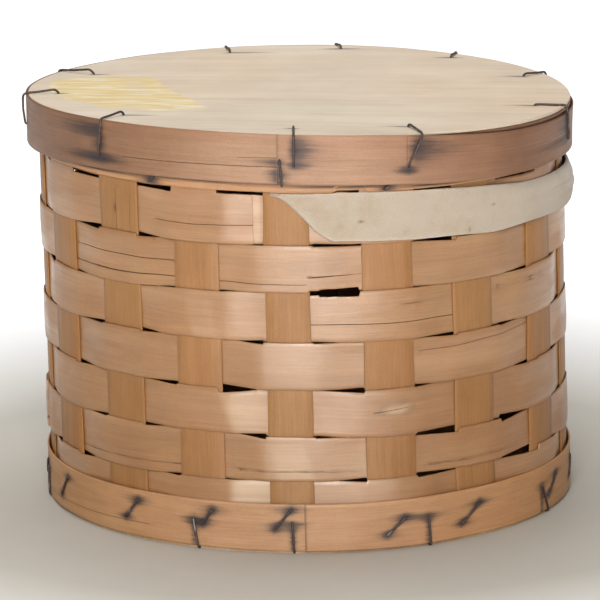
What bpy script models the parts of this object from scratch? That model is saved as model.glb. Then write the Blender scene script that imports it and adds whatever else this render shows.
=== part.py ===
"""Round woven-splint laundry hamper with a lift-off cap lid and a webbing carrying strap.

Upright splints (stakes) stand round the hamper and seven flat splint rings (weavers) are woven
through them. Bent hoops close the top and the bottom, a thin panel is the base, and the lid is a
panel held in a bent band. Metres, +Z up, origin on the floor at the centre of the base.
Azimuth 0 is the front (-Y) and grows towards +X.
"""
import math

import bpy

# Driving dimensions
WALL_RADIUS = 0.2124          # middle of the woven wall
STAKE_COUNT = 18
STAKE_THICKNESS = 0.0014
WEAVER_COUNT = 7
WEAVER_THICKNESS = 0.0012
ROW_PITCH = 0.0381            # one weaver and the slit above it
ROW_SLIT = 0.0012
FIRST_ROW_LOW = 0.0186        # lower edge of the lowest weaver
FIRST_STAKE_AZIMUTH = math.radians(-2.4)
# The stakes in turn, from the front one towards +X: how far each stands off its even place, in
# degrees, and its width
STAKE_OFFSETS = (-1.0, 0.4, 1.1, 4.6, 3.2, 1.4, 0, 0, 0, 0, 0, 0, 0, 0, 0, -1.4, -0.1, -0.5)
STAKE_WIDTHS = (
    0.0350, 0.0410, 0.0400, 0.0400, 0.0385, 0.0385, 0.0385, 0.0385, 0.0385,
    0.0385, 0.0385, 0.0385, 0.0385, 0.0385, 0.0385, 0.0400, 0.0410, 0.0377,
)
LEAN = -0.0181                # how far the old hamper leans along X for each metre of height
GAP = 0.0004                  # air between pieces that touch
RIM_TOP = 0.3232
BASE_THICKNESS = 0.0030
BASE_RADIUS = 0.2149
HOOP_THICKNESS = 0.0014
OUTER_HOOP_RADIUS = 0.2166    # outside of the top and bottom outer hoops
INNER_HOOP_RADIUS = 0.2112    # outside of the top and bottom inner hoops
BOTTOM_HOOP = (0.0022, 0.0403)
BOTTOM_INNER_HOOP = (0.0036, 0.0174)
TOP_HOOP_LOW = 0.2892         # the outer hoop's lower edge, which tips down towards +X
TOP_HOOP_DROP = 0.0036
TOP_INNER_HOOP_LOW = 0.2886

LID_RADIUS = 0.2226
LID_HEIGHT = 0.0390           # depth of the lid's band
LID_TOP = 0.3314              # mean height of the lid's upper face
LID_PANEL_THICKNESS = 0.0020
PANEL_RINGS = 3
BAND_THICKNESS = 0.0013
INNER_BAND_MARGIN = 0.0010    # how far the inner band stops short of the outer one's lower edge
LID_RISE_FRONT = 0.00305      # the lid sits tipped and a little twisted on the rim
LID_DROP_RIGHT = 0.0034
LID_SADDLE = 0.0015
LID_TWIST = 0.0036

STRAP_WIDTH = 0.0380
STRAP_THICKNESS = 0.0012
STRAP_TAB_RADIUS = 0.2140     # the stapled ends, between a stake and the top hoop
STRAP_END_RADIUS = 0.2156
STRAP_SIDE_RADIUS = 0.2212
STRAP_TOP_FRONT = 0.2884
STRAP_SAG = 0.0115            # how much lower the strap's middle lies than its ends
STRAP_FOLD_MARGIN = 0.0010    # height of the webbing's tip, where the fold starts
STRAP_START = math.radians(-6.3)
STRAP_FOLD_END = math.radians(7.3)
STRAP_FLARE_END = math.radians(44.0)
STRAP_TAB_TOP = 0.3040
STRAP_TAB_MARGIN = 0.0012     # how far the tab shows below the fold in front of it
STRAP_TAB_SHARE = 0.8         # width of the tab as a share of the fold's
STRAP_TAB_STEPS = 4
STRAP_STEP = math.radians(2.3)
STRAP_PIVOT_SHIFT = 0.0018    # puts the pivot nearer -X, so that the strap clears the wall there

WIRE_RADIUS = 0.00085
LID_STAPLE_AZIMUTHS = (-1.1, 25.0, 72.5, 111.5, 142.0, 171.0, 197.0, 244.0, 276.8, 316.0)
LID_STAPLE_REACH = 0.0280     # how far a leg reaches in over the panel
LID_STAPLE_DROP = 0.0245      # how far the other leg reaches down the band
SEAM_STAPLE_AZIMUTH = math.radians(-3.7)
SEAM_STAPLE_RISE = 0.0220
SEAM_STAPLE_REACH = 0.0024    # how far its lower leg reaches in under the band
BASE_STAPLE_AZIMUTHS = (-3.6, 25.3, 61.0, 97.0, 133.0, 169.0, 205.0, 242.0, 280.0, 335.5)
BASE_STAPLE_TOP = 0.0260
FLOOR_GAP = 0.0001            # between the base staples and the floor

SPLINT_HALF_TURN = 0.27       # share of the stake pitch where a weaver lies flat on a stake

SHARP_ANGLE = math.radians(40)
WIRE_BEVEL_RESOLUTION = 1

# Colour, roughness and metallic
MATERIALS = {
    "stake_wood": ((0.53, 0.33, 0.19), 0.6, 0.0),
    "weaver_wood": ((0.62, 0.43, 0.28), 0.6, 0.0),
    "hoop_wood": ((0.55, 0.35, 0.21), 0.6, 0.0),
    "base_wood": ((0.68, 0.58, 0.44), 0.7, 0.0),
    "panel_wood": ((0.68, 0.58, 0.44), 0.65, 0.0),
    "band_wood": ((0.50, 0.31, 0.19), 0.6, 0.0),
    "webbing": ((0.70, 0.65, 0.52), 0.9, 0.0),
    "wire": ((0.09, 0.07, 0.07), 0.4, 0.9),
}


def material(name):
    """One of the MATERIALS as a Principled material, made once."""
    found = bpy.data.materials.get(name)
    if found:
        return found
    colour, roughness, metallic = MATERIALS[name]
    made = bpy.data.materials.new(name)
    made.use_nodes = True
    shader = made.node_tree.nodes["Principled BSDF"]
    shader.inputs["Base Color"].default_value = (*colour, 1.0)
    shader.inputs["Roughness"].default_value = roughness
    shader.inputs["Metallic"].default_value = metallic
    return made


def around(radius, azimuth, height):
    """A point on the leaning hamper, at a radius and azimuth about its own middle."""
    return (
        radius * math.sin(azimuth) + LEAN * height,
        -radius * math.cos(azimuth),
        height,
    )


def add_mesh(name, points, faces, look):
    mesh = bpy.data.meshes.new(name)
    mesh.from_pydata(points, [], faces)
    mesh.materials.append(look)
    mesh.shade_smooth()
    mesh.set_sharp_from_angle(angle=SHARP_ANGLE)
    piece = bpy.data.objects.new(name, mesh)
    bpy.context.scene.collection.objects.link(piece)
    return piece


def band_section(azimuth, radius, thickness, low, high):
    """The four corners of a flat band's section, from inner low round to inner high."""
    return [
        around(radius - thickness, azimuth, low),
        around(radius, azimuth, low),
        around(radius, azimuth, high),
        around(radius - thickness, azimuth, high),
    ]


def skin_sections(sections, closed):
    """Faces over a run of sections with four corners each, with end caps on an open run."""
    faces = []
    count = len(sections)
    for i in range(count if closed else count - 1):
        here = 4 * i
        there = 4 * ((i + 1) % count)
        for j in range(4):
            k = (j + 1) % 4
            faces.append((here + j, there + j, there + k, here + k))
    if not closed:
        last = 4 * (count - 1)
        faces.append((0, 1, 2, 3))
        faces.append((last + 3, last + 2, last + 1, last))
    return faces


def add_band(name, sections, look, closed):
    """A band skinned over sections that band_section made."""
    points = [corner for section in sections for corner in section]
    return add_mesh(name, points, skin_sections(sections, closed), look)


def stake_azimuth(stake):
    offset = STAKE_OFFSETS[stake % STAKE_COUNT]
    return FIRST_STAKE_AZIMUTH + stake * math.tau / STAKE_COUNT + math.radians(offset)


def azimuth_at(place):
    """Azimuth of a place, which counts stakes: place 0.5 is halfway between stakes 0 and 1."""
    stake = math.floor(place)
    share = place - stake
    return (1 - share) * stake_azimuth(stake) + share * stake_azimuth(stake + 1)


def round_places():
    """Places all round, dense where a weaver leaves a stake."""
    steps = (-SPLINT_HALF_TURN, 0.0, SPLINT_HALF_TURN, 0.5)
    return [stake + step for stake in range(STAKE_COUNT) for step in steps]


def full_turn():
    return [azimuth_at(place) for place in round_places()]


def add_hoop(name, radius, low, high, look, drop=0.0):
    """A closed hoop; drop is how far its lower edge tips down towards +X."""
    sections = [
        band_section(azimuth, radius, HOOP_THICKNESS, low - drop * math.sin(azimuth), high)
        for azimuth in full_turn()
    ]
    add_band(name, sections, look, True)


def make_base():
    wood = material("base_wood")
    rim = [around(BASE_RADIUS, azimuth, 0.0) for azimuth in full_turn()]
    count = len(rim)
    top = [around(BASE_RADIUS, azimuth, BASE_THICKNESS) for azimuth in full_turn()]
    faces = [tuple(range(count - 1, -1, -1)), tuple(range(count, 2 * count))]
    faces += [(i, (i + 1) % count, count + (i + 1) % count, count + i) for i in range(count)]
    add_mesh("base_panel", rim + top, faces, wood)


def make_stakes():
    """Straight uprights, bent only to the wall's curve."""
    wood = material("stake_wood")
    low = BASE_THICKNESS + GAP
    outer = WALL_RADIUS + 0.5 * STAKE_THICKNESS
    for stake, width in enumerate(STAKE_WIDTHS):
        half = 0.5 * width / WALL_RADIUS
        sections = [
            band_section(stake_azimuth(stake) + turn, outer, STAKE_THICKNESS, low, RIM_TOP)
            for turn in (-half, 0.0, half)
        ]
        add_band(f"stake_{stake + 1:02d}", sections, wood, False)


def weaver_side(row, stake):
    """+1 where the weaver of this row passes outside the stake, -1 where it passes inside."""
    return 1 if (row + stake) % 2 else -1


def make_weavers():
    wood = material("weaver_wood")
    swing = 0.5 * (STAKE_THICKNESS + WEAVER_THICKNESS) + GAP
    for row in range(WEAVER_COUNT):
        low = FIRST_ROW_LOW + (WEAVER_COUNT - 1 - row) * ROW_PITCH
        high = low + ROW_PITCH - ROW_SLIT
        sections = []
        for place in round_places():
            stake = round(place)
            crossing = place - math.floor(place) == 0.5
            offset = 0.0 if crossing else swing * weaver_side(row, stake)
            outer = WALL_RADIUS + offset + 0.5 * WEAVER_THICKNESS
            sections.append(band_section(azimuth_at(place), outer, WEAVER_THICKNESS, low, high))
        add_band(f"weaver_{row + 1}", sections, wood, True)


def make_hoops():
    wood = material("hoop_wood")
    add_hoop("bottom_outer_hoop", OUTER_HOOP_RADIUS, *BOTTOM_HOOP, wood)
    add_hoop("bottom_inner_hoop", INNER_HOOP_RADIUS, *BOTTOM_INNER_HOOP, wood)
    add_hoop("top_outer_hoop", OUTER_HOOP_RADIUS, TOP_HOOP_LOW, RIM_TOP, wood, TOP_HOOP_DROP)
    add_hoop("top_inner_hoop", INNER_HOOP_RADIUS, TOP_INNER_HOOP_LOW, RIM_TOP, wood)


def lid_height(radius, azimuth):
    """Height of the lid's upper face: it is tipped, and warped like a shallow saddle."""
    across = radius / LID_RADIUS * math.sin(azimuth)
    ahead = radius / LID_RADIUS * math.cos(azimuth)
    tipped = LID_RISE_FRONT * ahead - LID_DROP_RIGHT * across
    warped = LID_SADDLE * (ahead ** 2 - across ** 2) - LID_TWIST * ahead * across
    return LID_TOP + tipped + warped


def around_lid(radius, azimuth, lift):
    """A point of the lid, at a height above its upper face."""
    height = lid_height(radius, azimuth) + lift
    return (
        radius * math.sin(azimuth) + LEAN * LID_TOP,
        -radius * math.cos(azimuth),
        height,
    )


def make_lid_panel():
    """A thin disc that follows the lid's warp, as rings of points on both faces."""
    wood = material("panel_wood")
    azimuths = full_turn()[::2]
    count = len(azimuths)
    panel_radius = LID_RADIUS - BAND_THICKNESS - GAP
    radii = [panel_radius * ring / PANEL_RINGS for ring in range(PANEL_RINGS, 0, -1)]
    points = []
    for lift in (0.0, -LID_PANEL_THICKNESS):
        for radius in radii:
            points += [around_lid(radius, azimuth, lift) for azimuth in azimuths]
        points.append(around_lid(0.0, 0.0, lift))
    side = len(radii) * count + 1
    faces = []
    for i in range(count):
        j = (i + 1) % count
        for ring in range(len(radii) - 1):
            near = ring * count
            far = near + count
            faces.append((near + i, near + j, far + j, far + i))
            faces.append((side + far + i, side + far + j, side + near + j, side + near + i))
        last = (len(radii) - 1) * count
        faces.append((last + i, last + j, side - 1))
        faces.append((side + last + j, side + last + i, 2 * side - 1))
        faces.append((side + i, side + j, j, i))
    add_mesh("lid_panel", points, faces, wood)


def add_lid_band(name, radius, low, high, look):
    """A closed band round the lid between two heights measured from its upper face."""
    azimuths = full_turn()
    points = []
    for azimuth in azimuths:
        points += [
            around_lid(radius - BAND_THICKNESS, azimuth, low),
            around_lid(radius, azimuth, low),
            around_lid(radius, azimuth, high),
            around_lid(radius - BAND_THICKNESS, azimuth, high),
        ]
    add_mesh(name, points, skin_sections(azimuths, True), look)


def make_lid_bands():
    wood = material("band_wood")
    add_lid_band("lid_outer_band", LID_RADIUS, -LID_HEIGHT, 0.0, wood)
    inner_radius = LID_RADIUS - BAND_THICKNESS - GAP
    under_panel = -LID_PANEL_THICKNESS - GAP
    add_lid_band("lid_inner_band", inner_radius, INNER_BAND_MARGIN - LID_HEIGHT, under_panel, wood)


def add_wire(name, route):
    """A bent wire with closed ends, along a short list of points."""
    curve = bpy.data.curves.new(name, "CURVE")
    curve.dimensions = "3D"
    curve.bevel_depth = WIRE_RADIUS
    curve.bevel_resolution = WIRE_BEVEL_RESOLUTION
    curve.use_fill_caps = True
    spline = curve.splines.new("POLY")
    spline.points.add(len(route) - 1)
    for point, place in zip(spline.points, route):
        point.co = (*place, 1.0)
    curve.materials.append(material("wire"))
    piece = bpy.data.objects.new(name, curve)
    bpy.context.scene.collection.objects.link(piece)


def make_lid_staples():
    """Wire staples bent over the lid's edge: one leg on the panel, the other down the band."""
    clear = WIRE_RADIUS + GAP
    outside = LID_RADIUS + clear
    for index, degrees in enumerate(LID_STAPLE_AZIMUTHS):
        azimuth = math.radians(degrees)
        route = [
            around_lid(LID_RADIUS - LID_STAPLE_REACH, azimuth, clear),
            around_lid(outside, azimuth, clear),
            around_lid(outside, azimuth, -LID_STAPLE_DROP),
        ]
        add_wire(f"lid_staple_{index + 1:02d}", route)


def make_seam_staple():
    """The staple that closes the band's lap, bent in under its lower edge."""
    clear = WIRE_RADIUS + GAP
    outside = LID_RADIUS + clear
    under = -LID_HEIGHT - clear
    route = [
        around_lid(outside, SEAM_STAPLE_AZIMUTH, under + SEAM_STAPLE_RISE),
        around_lid(outside, SEAM_STAPLE_AZIMUTH, under),
        around_lid(LID_RADIUS - SEAM_STAPLE_REACH, SEAM_STAPLE_AZIMUTH, under),
    ]
    add_wire("lid_seam_staple", route)


def make_base_staples():
    """Wire staples bent round the bottom edge of the outer hoop, clear of the floor."""
    clear = WIRE_RADIUS + GAP
    outside = OUTER_HOOP_RADIUS + clear
    low = WIRE_RADIUS + FLOOR_GAP
    for index, degrees in enumerate(BASE_STAPLE_AZIMUTHS):
        azimuth = math.radians(degrees)
        route = [
            around(outside, azimuth, BASE_STAPLE_TOP),
            around(outside, azimuth, low),
            around(BASE_RADIUS + GAP, azimuth, low),
        ]
        add_wire(f"base_staple_{index + 1:02d}", route)


def strap_middle(azimuth):
    """Height of the strap's middle line, lowest at the side."""
    return STRAP_TOP_FRONT - 0.5 * STRAP_WIDTH - STRAP_SAG * math.sin(azimuth) ** 2


def from_nearer_end(azimuth):
    """The azimuth measured from the front or from the back, whichever is nearer."""
    return azimuth if azimuth < math.pi / 2 else math.pi - azimuth


def fold_low(azimuth):
    """The slanting lower edge where the webbing's end is folded over, a smooth S."""
    share = (azimuth - STRAP_START) / (STRAP_FOLD_END - STRAP_START)
    share = min(max(share, 0.0), 1.0)
    fallen = share * share * (3 - 2 * share)
    return STRAP_TOP_FRONT - STRAP_FOLD_MARGIN - (STRAP_WIDTH - STRAP_FOLD_MARGIN) * fallen


def strap_section(azimuth):
    nearer = from_nearer_end(azimuth)
    flare = (nearer - STRAP_START) / (STRAP_FLARE_END - STRAP_START)
    flare = min(max(flare, 0.0), 1.0)
    radius = STRAP_END_RADIUS + (STRAP_SIDE_RADIUS - STRAP_END_RADIUS) * flare
    high = strap_middle(azimuth) + 0.5 * STRAP_WIDTH
    if nearer < STRAP_FOLD_END:
        low = fold_low(nearer)
    else:
        low = strap_middle(azimuth) - 0.5 * STRAP_WIDTH
    return band_section(azimuth, radius + 0.5 * STRAP_THICKNESS, STRAP_THICKNESS, low, high)


def strap_pivot():
    """The strap turns about a line along Y, level with the middles of its two folds."""
    height = fold_low(0.5 * (STRAP_START + STRAP_FOLD_END))
    return LEAN * height - STRAP_PIVOT_SHIFT, 0.0, height


def make_strap():
    """A loop of webbing that hangs round the +X side, on a pivot across its two ends."""
    webbing = material("webbing")
    count = round((math.pi - 2 * STRAP_START) / STRAP_STEP)
    sweep = (math.pi - 2 * STRAP_START) / count
    sections = [strap_section(STRAP_START + i * sweep) for i in range(count + 1)]
    loop = add_band("carrying_strap", sections, webbing, False)
    pivot = bpy.data.objects.new("strap_pivot", None)
    pivot.location = strap_pivot()
    bpy.context.scene.collection.objects.link(pivot)
    loop.parent = pivot
    loop.location = -pivot.location


def tab_section(azimuth):
    """The front end hangs down over its stake; at the rear a weaver is in the way."""
    if azimuth < math.pi / 2:
        low = fold_low(azimuth) - STRAP_TAB_MARGIN
    else:
        low = FIRST_ROW_LOW + WEAVER_COUNT * ROW_PITCH
    radius = STRAP_TAB_RADIUS + 0.5 * STRAP_THICKNESS
    return band_section(azimuth, radius, STRAP_THICKNESS, low, STRAP_TAB_TOP)


def make_strap_tabs():
    """The webbing's two stapled ends, caught between a stake and the top hoop."""
    webbing = material("webbing")
    step = STRAP_TAB_SHARE * (STRAP_FOLD_END - STRAP_START) / STRAP_TAB_STEPS
    front = [STRAP_START + step * i for i in range(STRAP_TAB_STEPS + 1)]
    add_band("strap_tab_front", [tab_section(azimuth) for azimuth in front], webbing, False)
    rear = [math.pi - azimuth for azimuth in reversed(front)]
    add_band("strap_tab_rear", [tab_section(azimuth) for azimuth in rear], webbing, False)


def main():
    for old in list(bpy.data.objects):
        bpy.data.objects.remove(old)
    make_base()
    make_stakes()
    make_weavers()
    make_hoops()
    make_lid_panel()
    make_lid_bands()
    make_lid_staples()
    make_seam_staple()
    make_base_staples()
    make_strap()
    make_strap_tabs()


main()
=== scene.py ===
"""Looks of an old woven-splint laundry hamper with a cap lid and a webbing strap.

Every splint, hoop, board, wire and strap of the frame gets a finely modelled piece that stands for
it. Azimuth 0 is the front (-Y) and grows towards +X. A place counts stakes round the hamper:
place 0 is the front stake and place 1 the next one to the right.
"""
import math
import random

import bmesh
import bpy
from mathutils import Matrix, Vector, noise


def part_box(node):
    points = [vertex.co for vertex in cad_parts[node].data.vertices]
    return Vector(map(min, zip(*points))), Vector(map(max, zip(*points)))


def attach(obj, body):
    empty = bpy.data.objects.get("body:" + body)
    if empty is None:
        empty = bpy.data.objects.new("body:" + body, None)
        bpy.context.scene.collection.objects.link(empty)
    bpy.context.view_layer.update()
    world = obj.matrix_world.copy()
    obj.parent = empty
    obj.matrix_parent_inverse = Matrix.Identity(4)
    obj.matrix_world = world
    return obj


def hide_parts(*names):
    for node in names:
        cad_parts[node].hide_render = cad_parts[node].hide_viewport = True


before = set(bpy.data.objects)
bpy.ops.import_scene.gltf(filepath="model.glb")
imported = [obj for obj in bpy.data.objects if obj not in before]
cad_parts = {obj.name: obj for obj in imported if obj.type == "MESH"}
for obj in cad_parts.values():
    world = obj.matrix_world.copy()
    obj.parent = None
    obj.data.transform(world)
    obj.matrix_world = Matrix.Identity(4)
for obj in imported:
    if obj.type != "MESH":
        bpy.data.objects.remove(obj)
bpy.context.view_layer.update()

MM = 0.001


# ---------------------------------------------------------------- sizes, from the frame

def centre(node):
    low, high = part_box(node)
    return (low + high) / 2


def outer_radius(node):
    """Radius of a ring or disc, from its box along Y, which the lean leaves alone."""
    low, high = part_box(node)
    return (high.y - low.y) / 2


def heights(node):
    low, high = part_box(node)
    return low.z, high.z


ROWS = 7
STAKES = 18
PITCH = math.tau / STAKES
LEAN = (centre("weaver_1").x - centre("weaver_7").x) / (centre("weaver_1").z - centre("weaver_7").z)

STAKE_THICKNESS = 0.0014
WEAVER_THICKNESS = 0.0012
HOOP_THICKNESS = 0.0014
BAND_THICKNESS = 0.0013
WIRE_RADIUS = 0.00092
WALL_RADIUS = 0.2124           # to the middle of the stakes
WEAVER_SWING = 0.00122         # how far a weaver lies off the wall's middle
STAKE_BEND = 0.00025           # how far a weaver pushes a stake the other way
HALF_FLAT = 0.27               # share of the pitch where a weaver lies flat against a stake
FRONT_REACH = 3                # how many places to each side the tables of the front reach
LAP_RISE = 1.02                # how far a lapped end stands out, in thicknesses
WIRE_AIR = 0.00015             # between a wire and the wood it lies on
WIRE_END = 0.0022              # how deep a wire's end goes into the wood
LID_AIR = 0.0004               # between the lid's board and its bands
FLOOR_AIR = 0.00004            # under the base

HOOP_RADIUS = outer_radius("bottom_outer_hoop")
INNER_HOOP_RADIUS = outer_radius("bottom_inner_hoop")
BASE_RADIUS = outer_radius("base_panel")
BASE_TOP = heights("base_panel")[1]
BOTTOM_HOOP = heights("bottom_outer_hoop")
BOTTOM_INNER_HOOP = heights("bottom_inner_hoop")
TOP_INNER_HOOP = heights("top_inner_hoop")
RIM_TOP = heights("top_outer_hoop")[1]
STAKE_LOW = heights("stake_01")[0]
ROW_LOW = heights("weaver_7")[0]
ROW_PITCH = (heights("weaver_1")[0] - heights("weaver_7")[0]) / (ROWS - 1)

# The lid's tip and warp, as in the frame
LID_RADIUS = 0.2226
LID_HEIGHT = 0.0390
LID_TOP = 0.3314
LID_THICKNESS = 0.0020
LID_RISE_FRONT = 0.00305
LID_DROP_RIGHT = 0.0034
LID_SADDLE = 0.0015
LID_TWIST = 0.0036

# By how many places a stake is from the front: how far it stands off its even spacing, in degrees,
# and its width in mm
FIRST_STAKE = math.radians(-2.4)
STAKE_OFFSETS = {-3: -1.4, -2: -0.1, -1: -0.5, 0: -1.0, 1: 0.4, 2: 1.1, 3: 4.6, 4: 3.2, 5: 1.4}
STAKE_WIDTHS = {-3: 42, -2: 41, -1: 37.7, 0: 35, 1: 41, 2: 40, 3: 42}
STAKE_WIDTH = 38.5

# How far each boundary between two rows lies above its even height, in mm, from 3 places left of
# the front to 3 places right of it. The first is the top of the uppermost row.
BOUNDARY_LIFTS = (
    (3.5, 5.0, 3.0, 2.5, 1.0, 1.0, 0.0), (1.0, 2.0, 0.5, 0.1, -0.8, -1.8, -2.0),
    (-1.5, -1.5, 0.8, 0.4, 0.6, -0.5, -1.0), (-0.6, 0.9, 0.3, -1.2, -2.4, -3.0, -3.0),
    (0.2, 0.2, -0.8, -1.4, -2.8, -2.4, -2.0), (-0.2, 1.0, 1.4, -0.5, -3.4, -3.6, -3.0),
    (0.6, 0.6, 1.5, 1.6, 1.0, 2.0, 2.0), (0.0, 0.0, 0.0, 0.0, 0.0, 0.0, 0.0),
)
REAR_LIFT = 1.6                # largest lift in mm where the table doesn't reach

# Slits between rows: from one place to another, and how wide they are at each end, in mm
CLOSED = 0.16                  # mm between two rows where there is no slit
SLIT_FADE = 0.014              # how much of a place a slit takes to close at its ends
SLITS = (
    (
        (-2.7, -2.26, 4.1, 4.5), (-1.73, -1.26, 4.3, 4.5), (-0.73, -0.22, 2.5, 3.3),
        (0.3, 0.72, 0.8, 2.2), (1.3, 1.77, 1.4, 2.8), (2.32, 2.9, 2.0, 2.2),
    ),
    (
        (-2.71, -2.28, 0.7, 3.5), (-1.73, -1.45, 3.3, 0.7), (0.27, 0.74, 1.8, 2.1),
        (1.28, 1.78, 1.3, 4.5), (2.32, 2.92, 2.8, 3.1),
    ),
    (
        (0.21, 0.36, 3.9, 4.2), (0.32, 0.7, 6.3, 6.7), (-0.77, -0.68, 0.8, 0.6),
        (-1.72, -1.5, 1.1, 0.4), (2.4, 2.8, 0.7, 1.3),
    ),
    (
        (-2.75, -2.28, 0.4, 1.8), (-1.73, -1.49, 2.4, 0.6), (-0.56, -0.28, 0.4, 2.8),
        (0.25, 0.45, 1.0, 0.4), (1.29, 1.78, 0.6, 2.2), (2.32, 2.56, 1.7, 0.6),
    ),
    (
        (-2.79, -2.49, 2.4, 0.6), (-1.73, -1.28, 0.4, 2.4), (-0.78, -0.38, 7.0, 1.4),
        (0.3, 0.73, 0.6, 3.7), (1.27, 1.42, 1.7, 0.4), (2.55, 2.92, 0.6, 2.2),
    ),
    (
        (-2.55, -2.28, 0.4, 1.7), (-1.74, -1.47, 2.1, 0.6), (-0.56, -0.28, 0.6, 3.7),
        (0.25, 0.4, 1.4, 0.4), (1.28, 1.76, 3.3, 5.3), (2.32, 2.78, 5.5, 0.7),
    ),
    (
        (-2.8, -2.52, 3.1, 0.6), (-1.42, -1.28, 0.4, 1.4), (0.46, 0.73, 0.4, 2.8),
        (1.28, 1.8, 3.3, 1.5), (2.32, 2.9, 2.0, 7.0),
    ),
    (),
)
REAR_SLIT_SHARE = 0.7          # how many of the gaps that the front list leaves out have a slit
REAR_SHUT = ((2, 7), (3, 7))   # boundary and gap that would let light through to a front slit
REAR_TUCK = 0.0020             # how far a weaver at the rear goes up behind the one above it
TUCK_START = 0.2               # how far in a weaver must lie before it does so

# Splits along the grain, those of the front first: from one place to another, the height share at
# each end, the opening at each end in mm, and how dark the split is, or how pale where negative
WEAVER_SPLITS = {
    1: ((-1.45, -0.37, 0.31, 0.34, 0.5, 0.5, 0.75), (5.3, 6.7, 0.62, 0.58, 0.5, 0.6, 0.9)),
    2: (
        (-2.75, -1.28, 0.24, 0.22, 1.7, 0.7, 1.0), (-2.65, -1.3, 0.56, 0.54, 0.5, 0.8, 1.0),
        (-0.74, 0.16, 0.2, 0.17, 0.7, 0.5, 0.8), (0.22, 0.72, 0.32, 0.37, 1.4, 0.2, 0.9),
        (9.3, 10.7, 0.3, 0.26, 0.6, 0.9, 0.9),
    ),
    3: (
        (0.24, 1.74, 0.35, 0.36, 0.7, 0.6, 1.0), (0.24, 1.74, 0.52, 0.8, 0.3, 0.2, -0.5),
        (8.3, 9.7, 0.7, 0.74, 0.5, 0.4, 0.8),
    ),
    4: ((1.4, 2.75, 0.72, 0.84, 0.5, 0.5, 0.7), (11.3, 12.7, 0.24, 0.3, 0.7, 0.5, 0.9)),
    5: ((0.84, 1.16, 0.52, 0.58, 0.6, 0.4, 0.5), (6.3, 7.7, 0.35, 0.3, 0.5, 0.7, 0.8)),
    6: (
        (-2.75, -1.28, 0.2, 0.24, 0.5, 0.6, 0.9), (-0.74, 0.28, 0.22, 0.2, 0.4, 0.4, 0.5),
        (0.3, 0.74, 0.21, 0.19, 0.6, 0.5, 0.8), (12.3, 13.6, 0.68, 0.72, 0.6, 0.5, 0.9),
    ),
    7: ((3.4, 4.6, 0.6, 0.66, 0.6, 0.8, 0.9),),
}
# The same for stakes, by how many places they are from the front, with height shares for places
STAKE_SPLITS = {
    -2: ((0.762, 0.87, 0.46, 0.45, 0.5, 0.5, 0.9), (0.762, 0.87, 0.8, 0.81, 0.4, 0.4, 0.6)),
    2: ((0.08, 0.19, 0.36, 0.38, 0.3, 0.3, 0.5),),
    9: ((0.4, 0.62, 0.4, 0.44, 0.5, 0.4, 0.8),),
}
# Paler patches on weavers, a painted highlight where the sheen falls on them: from one place to
# another, how much the patch slants with the height share, and how pale it is
PAINTED_SHEEN_PATCHES = {
    3: (-1.06, -0.86, 0.10, 0.16), 5: (-0.66, -0.22, 0.16, 0.26), 6: (-0.16, 0.12, 0.10, 0.20),
}
KNOT_EYE = (5, 1.05, 0.56, 0.15, 0.11)     # row, place, height share, and the half sizes of both


# ---------------------------------------------------------------- small helpers

def held(share):
    """A share held between 0 and 1."""
    return min(max(share, 0.0), 1.0)


def ease(share):
    """A smooth step from 0 to 1."""
    share = held(share)
    return share * share * (3 - 2 * share)


def mix(first, last, share):
    return first + (last - first) * share


def hump(value, start, end, fade):
    """1 between start and end, falling to 0 within fade outside them."""
    return ease((value - start) / fade + 1) * ease((end - value) / fade + 1)


def wobble(seed, along, across=0.0):
    """Smooth repeatable unevenness between about -1 and 1."""
    return 1.6 * noise.noise(Vector((along, across, 7.31 * seed + 0.37)))


def steps(start, end, count):
    """Even values from start to end, one more than count."""
    return [mix(start, end, i / count) for i in range(count + 1)]


def wrap(azimuth):
    """The same azimuth between half a turn to the left and half a turn to the right."""
    return (azimuth + math.pi) % math.tau - math.pi


def front_place(place):
    """How many places a place or stake is from the front one, from -9 up to 9."""
    half = STAKES // 2
    return (place + half) % STAKES - half


def hamper_point(radius, azimuth, height):
    """A point on the leaning hamper."""
    return Vector((
        radius * math.sin(azimuth) + LEAN * height,
        -radius * math.cos(azimuth),
        height,
    ))


def lid_surface(x, y):
    """Height of the lid's upper face over a point measured from the lid's own middle."""
    across = x / LID_RADIUS
    ahead = -y / LID_RADIUS
    tipped = LID_RISE_FRONT * ahead - LID_DROP_RIGHT * across
    warped = LID_SADDLE * (ahead ** 2 - across ** 2) - LID_TWIST * ahead * across
    return LID_TOP + tipped + warped


def lid_point(radius, azimuth, lift):
    """A point of the lid, at a height above its upper face."""
    x = radius * math.sin(azimuth)
    y = -radius * math.cos(azimuth)
    return Vector((x + LEAN * LID_TOP, y, lid_surface(x, y) + lift))


def stake_azimuth(stake):
    return FIRST_STAKE + stake * PITCH + math.radians(STAKE_OFFSETS.get(front_place(stake), 0.0))


def azimuth_at(place):
    stake = math.floor(place)
    return mix(stake_azimuth(stake), stake_azimuth(stake + 1), place - stake)


# ---------------------------------------------------------------- meshes

def closed_outward(mesh):
    """Turns all faces of a closed mesh outward."""
    shape = bmesh.new()
    shape.from_mesh(mesh)
    bmesh.ops.recalc_face_normals(shape, faces=shape.faces)
    shape.to_mesh(mesh)
    shape.free()


SHARP_ANGLE = math.radians(55)


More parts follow.
